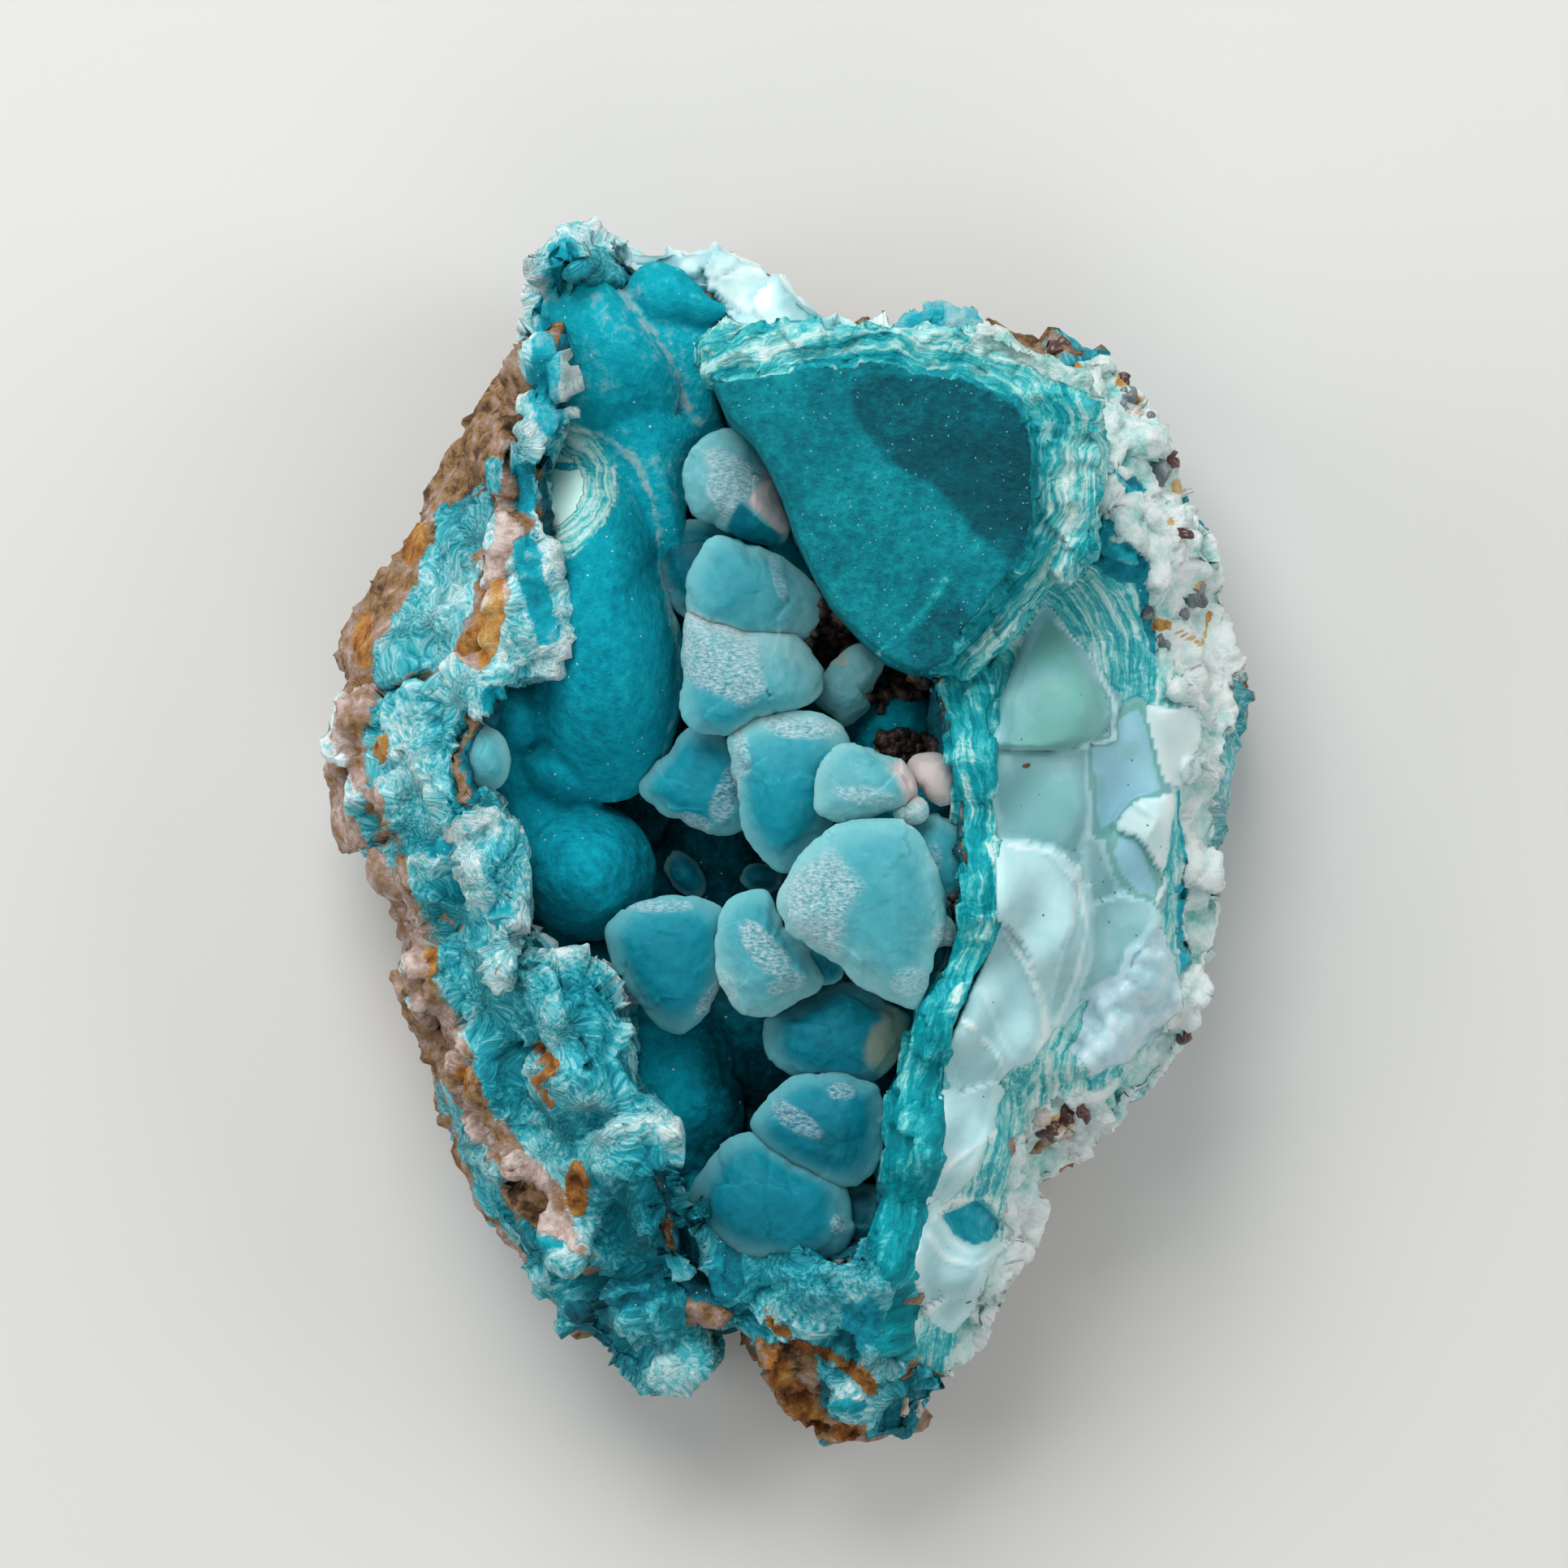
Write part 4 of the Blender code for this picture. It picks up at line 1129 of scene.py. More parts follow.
@dataclass
class HostRock:
    """The rock that everything grew on: its flanks and its back show, and it is hollowed in front."""

    top: float = 20.0
    sunk: float = 3.0
    covers: tuple[Outline, ...] = (SILKY_RIM, FOOT, UPPER_EDGE, RIBBON, RIGHT_PLATE)
    relief: Relief = Relief(((5.0, 0.9, 0.22), (1.9, 0.4, 0.26)), grain=1.0, depth=0.30, seed=3)
    lining_relief: Relief = Relief(lump=1.6, bulge=0.35, grain=1.0, depth=0.12, seed=4)
    silk_and_painted_sheen: tuple = (
        Spot((-12.2, 36.4), (3.4, 3.0)), Zone(SILKY_POCKET, ragged=1.4), Zone(LOWER_CRUST, blur=1.4, ragged=2.0),
        Spot((-24.0, 2.0), (3.0, 5.0)), Spot((24.0, -2.0), (8.0, 22.0)), Spot((22.0, 22.0), (8.0, 12.0)),
    )
    stain: tuple = (Zone(OCHRE_RIDGE), Spot((-24.2, 19.2), (1.2, 1.5)), Spot((-27.4, 12.6), (0.8, 1.8)))

    def build(self) -> None:
        """Build the rock and dress it."""
        clay = Clay()
        clay.slab(OUTLINE, BODY_LEVELS)
        rock = Sculpture("host_rock", clay)
        rock.fuse(Mesh.COARSE)
        points = rock.points()
        covered = np.max([smooth_step(signed_distance(points, plate), -0.4, 1.2) for plate in self.covers], axis=0)
        height = lie_of_face(points) - self.sunk * covered
        points[:, 2] *= np.where(points[:, 2] > 0.0, height / self.top, 1.0)
        rock.place(points)
        clay = Clay()
        clay.slab(HOLLOW, HOLLOW_LEVELS)
        rock.cut(Sculpture("hollow", clay))
        rock.fuse(Mesh.COARSE)
        points = rock.points()
        inside = smooth_step(signed_distance(points, HOLLOW), -0.3, 0.8)
        push = self.relief.push(points) * (1.0 - inside) + self.lining_relief.push(points) * inside
        rock.push(push)
        rock.crop(0.0)
        points = rock.points()
        lining = smooth_step(signed_distance(points, HOLLOW), -0.6, 0.2)
        high = smooth_step(points[:, 1], 14.0, 22.0) * (1.0 - lining)
        rock.mark("tone", tones(points, 0.52 - 0.35 * lining - 0.14 * high, 0.22, 4.0, 6))
        rock.mark("silk_and_painted_sheen", largest_share(self.silk_and_painted_sheen, points))
        rock.mark("stain", largest_share(self.stain, points))
        rock.mark("lining", lining)
        stack = Stack("Quartz and limonite rock", QUARTZ_ROCK)
        stack.cover(SILKY_SPRAY, "silk_and_painted_sheen").cover(ORANGE_LIMONITE, "stain").cover(TEAL_VELVET, "lining")
        rock.finish(stack.done(gloss=0.25), Node.MATRIX, Slot.MATRIX)


@dataclass
class Plate:
    """A broken crust that follows the lie of the face.

    Attributes:
        name: The piece's name.
        outline: Its corners, seen from the front.
        thickness: How far down it reaches.
        lift: How far it stands above the lie of the face.
        relief: How its surface is broken.
        mesh: How fine its skin is.
    """

    name: str
    outline: Outline
    thickness: float
    lift: float
    relief: Relief
    mesh: Mesh = Mesh.FINE

    def sculpt(self, extra: Clay | None = None) -> tuple[Sculpture, Array]:
        """Build the plate's shape.

        Args:
            extra: Forms to fuse with the plate, with heights counted from its top.

        Returns:
            The plate, and how far its relief stands out at each vertex, in millimetres.
        """
        clay = extra or Clay()
        clay.slab(self.outline, ((-self.thickness, 0.97), (-self.thickness / 2.0, 0.99), (0.0, 1.0)))
        plate = Sculpture(self.name, clay)
        plate.fuse(self.mesh)
        points = plate.points()
        points[:, 2] += lie_of_face(points) + self.lift
        plate.place(points)
        push = self.relief.push(points)
        plate.push(push)
        return plate, push


@dataclass
class SilkyRim:
    """The left rim: chunky broken aurichalcite in silky sprays, stained by limonite here and there."""

    plate: Plate = field(default_factory=lambda: Plate(
        "aurichalcite_rim", SILKY_RIM, 15.0, 0.4,
        Relief(((5.6, 1.1, 0.30), (2.1, 0.35, 0.34)), grain=0.7, depth=0.10, seed=8), Mesh.MEDIUM,
    ))
    masses: tuple = (
        ((-13.4, -12.8, -0.9), (3.4, 4.8, 2.0)), ((-9.9, -21.0, -1.0), (3.1, 3.9, 2.1)),
        ((-10.4, -31.6, -2.6), (4.0, 2.4, 1.9)), ((-19.2, -2.2, -1.4), (2.6, 5.6, 2.0)),
    )
    rock: tuple = (Zone(TAN_BAND, blur=1.2, ragged=0.9), Zone(OCHRE_RIDGE, blur=0.9, ragged=0.5))
    stain: tuple = (
        Spot((-13.2, -22.8), (0.8, 2.1)), Spot((-22.0, 12.6), (0.8, 1.2)), Spot((-18.6, 13.6), (0.8, 3.0), -12.0),
        Trail(((-15.8, -13.5), (-14.7, -14.6), (-15.7, -15.9), (-15.0, -17.2)), 0.18, 0.4),
        Spot((-20.6, -15.6), (0.5, 1.2)), Spot((-26.0, 5.6), (0.5, 1.0)), Spot((-22.6, -8.0), (0.4, 1.2)),
    )
    teal: tuple = (
        Trail(((-14.0, 37.6), (-14.8, 34.0), (-15.4, 29.4), (-14.8, 26.4)), 0.5, 1.0, 0.9),
        Trail(((-16.6, 23.0), (-17.0, 20.2), (-16.2, 17.0), (-15.0, 13.0)), 0.4, 1.0, 0.9),
        Spot((-21.9, -0.9), (1.3, 0.6)), Spot((-18.0, -5.2), (1.0, 0.7)), Spot((-18.2, 8.6), (1.2, 1.0)),
        Spot((-17.9, -23.2), (0.9, 0.5)), Spot((-15.2, -26.4), (1.1, 0.6)), Spot((-10.1, -30.3), (2.3, 0.5), 8.0),
        Spot((-13.2, -31.4), (1.2, 0.8)), Spot((-21.8, 13.2), (1.2, 0.6), 30.0),
    )

    def build(self) -> None:
        """Build the rim and dress it."""
        clay = Clay()
        for middle, radii in self.masses:
            clay.lump(middle, radii)
        rim, relief = self.plate.sculpt(clay)
        points = rim.points()
        low = smooth_step(-points[:, 1], 4.0, 28.0)
        rock = largest_share(self.rock, points)
        base = 0.54 + 0.10 * smooth_step(points[:, 1], 2.0, 12.0) + (0.20 * rock - 0.34 * low) * (1.0 - 0.6 * rock)
        rim.mark("tone", tones(points, base + 0.24 * relief, 0.24, 3.2, 12))
        rim.mark("rock", rock)
        rim.mark("stain", largest_share(self.stain, points))
        rim.mark("teal", largest_share(self.teal, points))
        stack = Stack("Silky aurichalcite", SILKY_SPRAY)
        stack.cover(TEAL_VELVET, "teal").cover(QUARTZ_ROCK, "rock").cover(ORANGE_LIMONITE, "stain")
        rim.finish(stack.done(gloss=0.2), Node.MATRIX, Slot.MATRIX)


@dataclass
class UpperEdge:
    """The upper edge: smooth pale mint shells above the hollow."""

    plate: Plate = field(default_factory=lambda: Plate(
        "upper_edge", UPPER_EDGE, 9.0, 0.4, Relief(((3.4, 1.0, 0.32), (1.3, 0.2, 0.24)), grain=0.8, depth=0.06, seed=31),
    ))

    def build(self) -> None:
        """Build the edge and dress it."""
        edge, relief = self.plate.sculpt()
        points = edge.points()
        edge.mark("tone", tones(points, 0.70 + 0.40 * relief, 0.30, 2.0, 61))
        edge.mark("silk_and_painted_sheen", Spot((10.3, 33.4), (3.0, 1.6)).share(points))
        stack = Stack("Pale mint smithsonite edge", MINT_SHELL).cover(TEAL_VELVET, "silk_and_painted_sheen")
        edge.finish(stack.done(glow=0.2), Node.MATRIX, Slot.MATRIX)


@dataclass
class Foot:
    """The foot: a fibrous knob under the lowest crystal, and the limonite tip below it."""

    plate: Plate = field(default_factory=lambda: Plate(
        "aurichalcite_foot", FOOT, 9.0, 0.6, Relief(((4.6, 1.1, 0.32), (1.8, 0.4, 0.3)), grain=0.8, depth=0.12, seed=13),
    ))

    deep: tuple = (
        Zone(((5.8, -29.4), (7.2, -33.2), (3.4, -33.4), (4.4, -30.6)), blur=1.4), Spot((4.2, -37.4), (1.5, 0.6)),
        Spot((-0.6, -25.0), (1.6, 0.8), -20.0), Spot((-3.6, -28.6), (1.2, 2.6), 0.8),
    )
    stain: tuple = (
        Zone(ORANGE_VEIN, ragged=0.8, grain=1.4), Spot((4.3, -39.4), (1.3, 0.7)),
        Zone(((-1.5, -33.3), (-0.1, -33.8), (1.4, -36.1), (2.7, -38.6), (1.9, -40.0), (0.3, -38.4),
              (-0.8, -36.3)), 0.7, 0.8, 1.2),
    )

    def build(self) -> None:
        """Build the foot and dress it."""
        foot, relief = self.plate.sculpt()
        points = foot.points()
        foot.mark("tone", tones(points, 0.34 + 0.25 * relief, 0.2, 3.0, 14))
        foot.mark("deep", largest_share(self.deep, points))
        foot.mark("rock", Zone(LIMONITE_TIP, ragged=1.2).share(points))
        foot.mark("stain", largest_share(self.stain, points))
        stack = Stack("Fibrous aurichalcite foot", SILKY_SPRAY)
        stack.cover(TEAL_VELVET, "deep").cover(QUARTZ_ROCK, "rock").cover(ORANGE_LIMONITE, "stain")
        foot.finish(stack.done(gloss=0.25), Node.MATRIX, Slot.MATRIX)


@dataclass
class VelvetLobes:
    """Rounded lobes of teal velvet that line the hollow, one of them broken to a pale lens. Painted shade darkens them
    deep in the hollow, and a painted sheen pales some of their rims.
    """

    domes: tuple[Dome, ...] = (
        Dome(
            ((-13.8, 38.0), (-12.5, 38.2), (-11.3, 37.3), (-10.6, 35.9), (-9.7, 34.5),
             (-8.8, 33.4), (-8.0, 32.2), (-7.2, 31.0), (-6.7, 29.7), (-6.7, 27.7), (-8.6, 25.6),
             (-11.7, 25.1), (-14.4, 26.7), (-15.1, 29.3), (-15.4, 31.9), (-15.4, 35.1),
             (-14.9, 36.9)),
            18.4, 3.6, 9.0, (0.1, -0.02), flat=2.2,
        ),
        Dome(
            ((-10.7, 33.0), (-8.6, 32.7), (-7.3, 30.9), (-6.4, 28.5), (-6.0, 27.5), (-5.0, 26.7),
             (-4.8, 25.6), (-5.5, 24.6), (-6.2, 23.0), (-6.3, 20.4), (-6.0, 17.2), (-7.8, 17.2),
             (-10.7, 21.4), (-13.8, 24.6), (-14.9, 27.7), (-14.4, 30.9), (-12.8, 32.5)),
            16.8, 3.6, 9.0, (0.02, -0.1), flat=2.2,
        ),
        Dome(
            ((-10.2, 35.0), (-8.6, 35.4), (-6.5, 34.7), (-4.4, 34.2), (-3.1, 33.8), (-2.7, 33.3),
             (-3.3, 32.5), (-4.1, 31.7), (-4.5, 30.4), (-4.3, 28.3), (-3.3, 25.9), (-4.4, 25.1),
             (-6.0, 25.6), (-8.1, 27.7), (-9.9, 30.9), (-10.9, 33.5)),
            16.6, 2.2, 7.0, (-0.15, 0.05), flat=2.2,
        ),
        Dome(
            ((-9.7, 36.4), (-8.6, 37.1), (-7.3, 36.9), (-6.0, 35.9), (-4.9, 34.8), (-3.3, 34.0),
             (-4.4, 33.3), (-6.5, 33.5), (-9.1, 34.0), (-10.1, 35.1)),
            18.8, 1.4, 6.0, (0.0, 0.0), flat=2.2,
        ),
        Dome(
            ((-13.8, 26.5), (-12.7, 26.3), (-11.5, 25.9), (-10.3, 25.0), (-9.3, 23.7),
             (-8.7, 22.2), (-8.2, 20.8), (-7.9, 19.6), (-8.0, 17.8), (-7.6, 16.2), (-7.0, 14.4),
             (-6.5, 12.5), (-6.4, 10.4), (-6.6, 8.1), (-7.1, 6.0), (-8.0, 4.1), (-9.0, 2.8),
             (-10.4, 2.1), (-12.0, 2.0), (-13.6, 2.8), (-14.9, 4.4), (-15.8, 6.0), (-16.4, 7.8),
             (-16.7, 9.9), (-16.9, 13.0), (-17.0, 16.2), (-16.8, 19.3), (-16.4, 22.5),
             (-15.3, 25.1)),
            17.6, 7.4, 9.0, (0.0, 0.02), flat=2.3,
        ),
        Dome(
            ((-17.9, 5.2), (-16.7, 6.1), (-15.1, 6.5), (-13.3, 5.2), (-11.7, 3.9), (-11.5, 2.1),
             (-13.6, 1.9), (-15.7, 2.5), (-17.2, 3.7)),
            16.2, 3.0, 6.0, (0.0, 0.0), flat=2.0,
        ),
        Dome(
            ((-12.8, 2.1), (-11.5, 1.9), (-10.2, 1.3), (-9.1, 0.3), (-8.5, -1.0), (-8.3, -2.4),
             (-8.5, -3.9), (-9.1, -5.2), (-10.2, -6.3), (-11.5, -6.9), (-12.8, -7.0),
             (-14.4, -6.8), (-15.8, -6.1), (-17.0, -4.8), (-17.6, -3.0), (-17.6, -1.1),
             (-17.0, 0.4), (-15.8, 1.5), (-14.4, 2.0)),
            15.0, 7.2, 6.0, (0.0, 0.0), flat=2.0,
        ),
        Dome(
            ((-19.1, 9.1), (-18.0, 9.8), (-16.7, 9.9), (-15.7, 9.1), (-15.3, 7.8), (-15.7, 6.5),
             (-17.0, 5.6), (-18.3, 6.0), (-19.1, 7.3)),
            18.6, 2.4, 6.0, (0.0, 0.0), flat=2.0,
        ),
        Dome(
            ((-17.5, -7.2), (-16.2, -6.6), (-14.9, -7.2), (-14.3, -8.5), (-14.6, -9.8),
             (-16.5, -9.8), (-17.5, -8.7)),
            14.6, 2.4, 5.0, (0.0, 0.0), flat=2.0,
        ),
        Dome(
            ((-14.4, -7.2), (-12.5, -6.8), (-10.9, -7.4), (-10.3, -9.0), (-10.9, -10.3),
             (-13.0, -10.3), (-14.4, -9.0)),
            13.0, 2.2, 5.0, (0.0, 0.0), flat=2.0,
        ),
        Dome(
            ((-10.7, -7.4), (-9.1, -8.0), (-7.0, -9.8), (-4.9, -11.1), (-4.1, -12.4),
             (-3.3, -15.8), (-2.5, -19.0), (-3.1, -21.1), (-4.4, -21.9), (-6.0, -23.4),
             (-7.3, -23.7), (-8.3, -21.6), (-9.6, -19.5), (-11.2, -17.9), (-12.5, -15.8),
             (-12.8, -13.2), (-12.5, -10.1)),
            12.0, 3.6, 5.0, (-0.1, 0.0), flat=2.2,
        ),
    )
    fillings: tuple = (
        ((-12.3, 30.6, 13.0), (3.6, 5.8, 6.4)), ((-9.8, 25.6, 12.0), (4.9, 6.9, 5.8)),
        ((-12.5, 17.4, 13.4), (4.7, 7.2, 7.4)), ((-6.6, 30.6, 10.8), (4.0, 5.2, 4.4)),
        ((-3.4, 27.0, 9.6), (3.0, 4.0, 4.0)), ((-17.0, 5.0, 13.0), (3.6, 4.6, 4.6)),
        ((-16.2, 0.4, 12.8), (3.8, 4.2, 4.4)), ((-15.8, -7.6, 11.2), (3.2, 2.8, 4.6)),
        ((-9.4, -8.6, 9.0), (3.0, 3.0, 3.6)), ((-7.6, -3.4, 8.0), (3.4, 3.4, 3.4)),
        ((-6.8, -19.4, 9.0), (4.6, 4.6, 3.6)), ((-5.6, -25.6, 10.4), (2.4, 4.0, 4.2)),
        ((-6.3, -29.0, 10.4), (2.0, 2.6, 4.0)), ((-3.9, -30.4, 9.4), (2.2, 2.6, 4.6)),
        ((-4.6, -1.4, 7.4), (4.0, 4.4, 4.6)), ((7.2, 6.6, 13.4), (3.8, 4.4, 6.2)),
        ((8.6, 2.6, 12.6), (3.4, 4.6, 6.0)), ((-1.6, -14.6, 6.4), (4.6, 5.0, 4.6)),
        ((4.6, -24.4, 9.4), (2.8, 3.4, 4.6)), ((2.0, 18.0, 8.6), (3.0, 8.0, 4.8)),
        ((0.6, 17.0, 12.6), (3.0, 3.4, 4.4)), ((3.0, 11.4, 11.0), (3.4, 3.6, 5.0)),
    )
    lens: Outline = (
        (-15.1, 24.6), (-14.5, 24.8), (-13.4, 24.2), (-12.8, 23.3), (-12.8, 21.9), (-13.2, 20.9),
        (-14.1, 20.0), (-15.3, 19.6), (-15.9, 21.4), (-15.8, 23.5),
    )
    sliver: Spot = Spot((-14.0, 23.8), (0.9, 0.28), -6.0)
    # Painted sheen: pale lines along the lobes' rims, where the velvet catches grazing light.
    pale: tuple = (
        Trail(((-11.2, 36.6), (-9.9, 34.4), (-8.6, 32.8), (-7.6, 31.4), (-6.9, 29.8), (-6.5, 28.4),
               (-5.4, 26.8)), 0.05, 0.35),
        Trail(((-12.0, 36.0), (-10.9, 34.0), (-9.6, 32.4), (-8.6, 31.0), (-7.9, 29.6), (-7.3, 28.2)), 0.3, 1.6, 0.35),
        Trail(((-13.6, 26.3), (-11.4, 25.8), (-9.7, 24.4), (-8.6, 22.2), (-8.0, 20.0), (-8.0, 17.4),
               (-7.2, 14.4), (-6.6, 11.6), (-6.8, 8.2), (-8.0, 4.4)), 0.04, 0.26),
        Trail(((-7.4, 18.6), (-7.5, 16.4), (-7.0, 13.6), (-7.2, 9.2)), 0.3, 1.2, 0.3),
        Trail(((-8.6, 1.2), (-8.3, -1.4), (-8.7, -4.4)), 0.10, 0.5, 0.6),
    )
    relief: Relief = Relief(lump=1.3, bulge=0.05, grain=0.7, depth=0.05, seed=21)

    def build(self) -> None:
        """Build the lobes and dress them."""
        clay = Clay()
        add_domes(self.domes, clay)
        for middle, radii in self.fillings:
            clay.lump(middle, radii)
        lobes = Sculpture("velvet_lobes", clay)
        lobes.fuse(Mesh.FINE)
        lobes.crop(8.0)
        points = lobes.points()
        rough = smooth_step(-points[:, 1], -3.0, 6.0)
        lobes.push(self.relief.push(points) * (1.0 + 2.6 * rough) + 0.16 * soft_noise(points, 4.0, 9, 2))
        points = lobes.points()
        # Painted shade: the lower a place lies, the darker its tone, for the shade deep in the hollow. The pale trails
        # add a painted sheen along rims.
        deep = smooth_step(-points[:, 2], -17.0, -9.5)
        pale = largest_share(self.pale, points) * smooth_step(soft_noise(points, 0.7, 23, 3), -0.7, 0.3)
        lobes.mark("tone", tones(points, 0.55 + 0.12 * smooth_step(points[:, 1], 14.0, 24.0) - 0.42 * deep + 0.40 * pale, 0.12, 3.0, 22))
        within = signed_distance(points, self.lens)
        lens = smooth_step(within + 0.1 * soft_noise(points, 0.8, 15, 2), -0.05, 0.1)
        high = smooth_step(points[:, 2], 17.0, 19.0)
        lobes.mark("lens", lens * high * (1.0 - self.sliver.share(points)))
        ring = smooth_step(within + 0.5 * soft_noise(points, 1.2, 16, 3), -2.6, -1.4) * (1.0 - lens)
        lobes.mark("ring", ring * high)
        lobes.mark("rind", np.stack([within * 1.5, points[:, 1], points[:, 2]], axis=1))
        stack = Stack("Teal velvet lining", TEAL_VELVET).cover(BANDED_RIND, "ring")
        stack.cover(Mineral(((0.0, "#BDEBE3"), (1.0, "#CFF4EA")), relief=0.02, rough=0.4), "lens", 0.0)
        lobes.finish(stack.done(gloss=0.10), Node.MATRIX, Slot.MATRIX)


@dataclass
class VelvetBlock:
    """The block that stands proud at the upper right: a velvet face with banded sides."""

    floor: float = 9.0
    face_height: float = 33.0
    shoulder_drop: float = 3.2
    slope: tuple[float, float] = (0.05, 0.22)
    middle: tuple[float, float] = (7.0, 21.0)
    relief: Relief = Relief(((3.4, 0.6, 0.24), (1.3, 0.2, 0.22)), grain=0.7, depth=0.10, seed=41)
    face_relief: Relief = Relief(lump=2.2, bulge=0.10, grain=0.7, depth=0.07, seed=42)
    cap: Outline = (
        (12.2, 31.7), (12.7, 34.0), (20.0, 34.0), (21.3, 29.3), (19.8, 27.2), (18.9, 28.1), (16.7, 29.1),
        (14.9, 29.8), (13.2, 30.9),
    )
    shade: tuple = (
        Zone((
            (4.6, 28.7), (7.7, 29.1), (11.4, 28.7), (14.4, 27.7), (15.7, 25.6), (15.9, 19.0), (14.8, 16.9),
            (12.8, 18.3), (11.6, 20.4), (8.7, 22.5), (5.9, 24.6), (4.4, 26.7),
        ), 0.7, 0.6),
        Spot((10.0, 12.6), (2.2, 1.6), 40.0, 0.8),
    )
    sparkle: tuple = (
        Trail(((8.2, 13.4), (9.2, 14.6), (10.4, 16.2)), 0.14, 0.14),
        Trail(((5.4, 11.0), (6.8, 12.2), (7.6, 13.2)), 0.08, 0.12),
    )

    def build(self) -> None:
        """Build the block and dress it."""
        clay = Clay()
        for outline, drop in ((BLOCK_BODY, self.shoulder_drop), (BLOCK_FACE, 0.0), (BLOCK_CHUNK, 4.5)):
            top = clay.slab(outline, ((self.floor, 1.0), (self.face_height, 1.0)))
            for corner in top.verts:
                rise = self.slope[0] * (corner.co.x - self.middle[0]) + self.slope[1] * (corner.co.y - self.middle[1])
                corner.co.z = self.face_height + rise - drop
        block = Sculpture("velvet_block", clay)
        block.fuse(Mesh.FINE)
        points = block.points()
        inside = signed_distance(points, BLOCK_FACE)
        face = smooth_step(inside + 0.5 * soft_noise(points, 2.0, 5, 3), -0.4, 0.5)
        left = smooth_step(9.8 - points[:, 0], -1.2, 1.2)
        left *= smooth_step(28.8 - points[:, 1] + 0.4 * soft_noise(points, 1.6, 46, 2), -0.3, 0.3)
        face = np.maximum(face * smooth_step(block.normals()[:, 2], 0.3, 0.7), left)
        block.push(self.relief.push(points) * (1.0 - face) + self.face_relief.push(points) * face)
        block.mark("face", face)
        shade = largest_share(self.shade, points) - 0.8 * largest_share(self.sparkle, points)
        beside = (1.0 - face) * (0.60 - 0.28 * smooth_step(inside, -1.3, -0.2))
        block.mark("tone", tones(points, beside + face * (0.56 - 0.30 * shade), 0.16, 3.0, 43))
        along = points[:, 0] * 0.7 - points[:, 1] * 0.7 + 0.8 * soft_noise(points, 2.0, 44, 2)
        depth = -inside + 0.6 * (33.0 - points[:, 2]) + 0.4 * soft_noise(points, 2.6, 45, 2)
        block.mark("rind", np.stack([depth, along, points[:, 2]], axis=1))
        block.mark("crust", Zone(self.cap, blur=0.8, ragged=0.5).share(points))
        stack = Stack("Velvet block", BANDED_RIND).cover(BLOCK_VELVET, "face").cover(CHALKY_CRUST, "crust")
        block.finish(stack.done(gloss=0.15), Node.MATRIX, Slot.MATRIX)


@dataclass
class BandedRibbon:
    """The thin banded wall on the right of the hollow."""

    plate: Plate = field(default_factory=lambda: Plate(
        "banded_ribbon", RIBBON, 16.0, 0.5, Relief(((2.8, 0.5, 0.25),), grain=0.7, depth=0.12, seed=51),
    ))

    def build(self) -> None:
        """Build the ribbon and dress it."""
        ribbon, relief = self.plate.sculpt()
        points = ribbon.points()
        across = signed_distance(points, HOLLOW)
        across += 0.35 * soft_noise(points, 2.2, 52, 2)
        ribbon.mark("tone", tones(points, 0.40 - 0.18 * smooth_step(-points[:, 1], 8.0, 20.0) + 0.3 * relief, 0.2, 3.0, 53))
        ribbon.mark("rind", np.stack([across, points[:, 1], points[:, 2]], axis=1))
        ribbon.finish(Stack("Banded aurichalcite", BANDED_RIND).done(gloss=0.12), Node.MATRIX, Slot.MATRIX)


@dataclass(frozen=True)
class Shell:
    """One curved face of the mint zone.

    Attributes:
        outline: Its corners.
        lift: How far it stands above the plate.
        slope: How fast it rises to the right and up.
        bulge: How far its middle stands above its rim.
        tone: Its tone.
    """

    outline: Outline
    lift: float
    slope: tuple[float, float]
    bulge: float
    tone: float

    def height(self, points: Array) -> Array:
        """How far the face stands above the plate at each place."""
        away = points[:, :2] - np.mean(self.outline, axis=0)
        radius = np.ptp(self.outline, axis=0).max() / 2.0
        return self.lift + away @ np.array(self.slope) + self.bulge * (1.0 - (away ** 2).sum(axis=1) / radius ** 2)


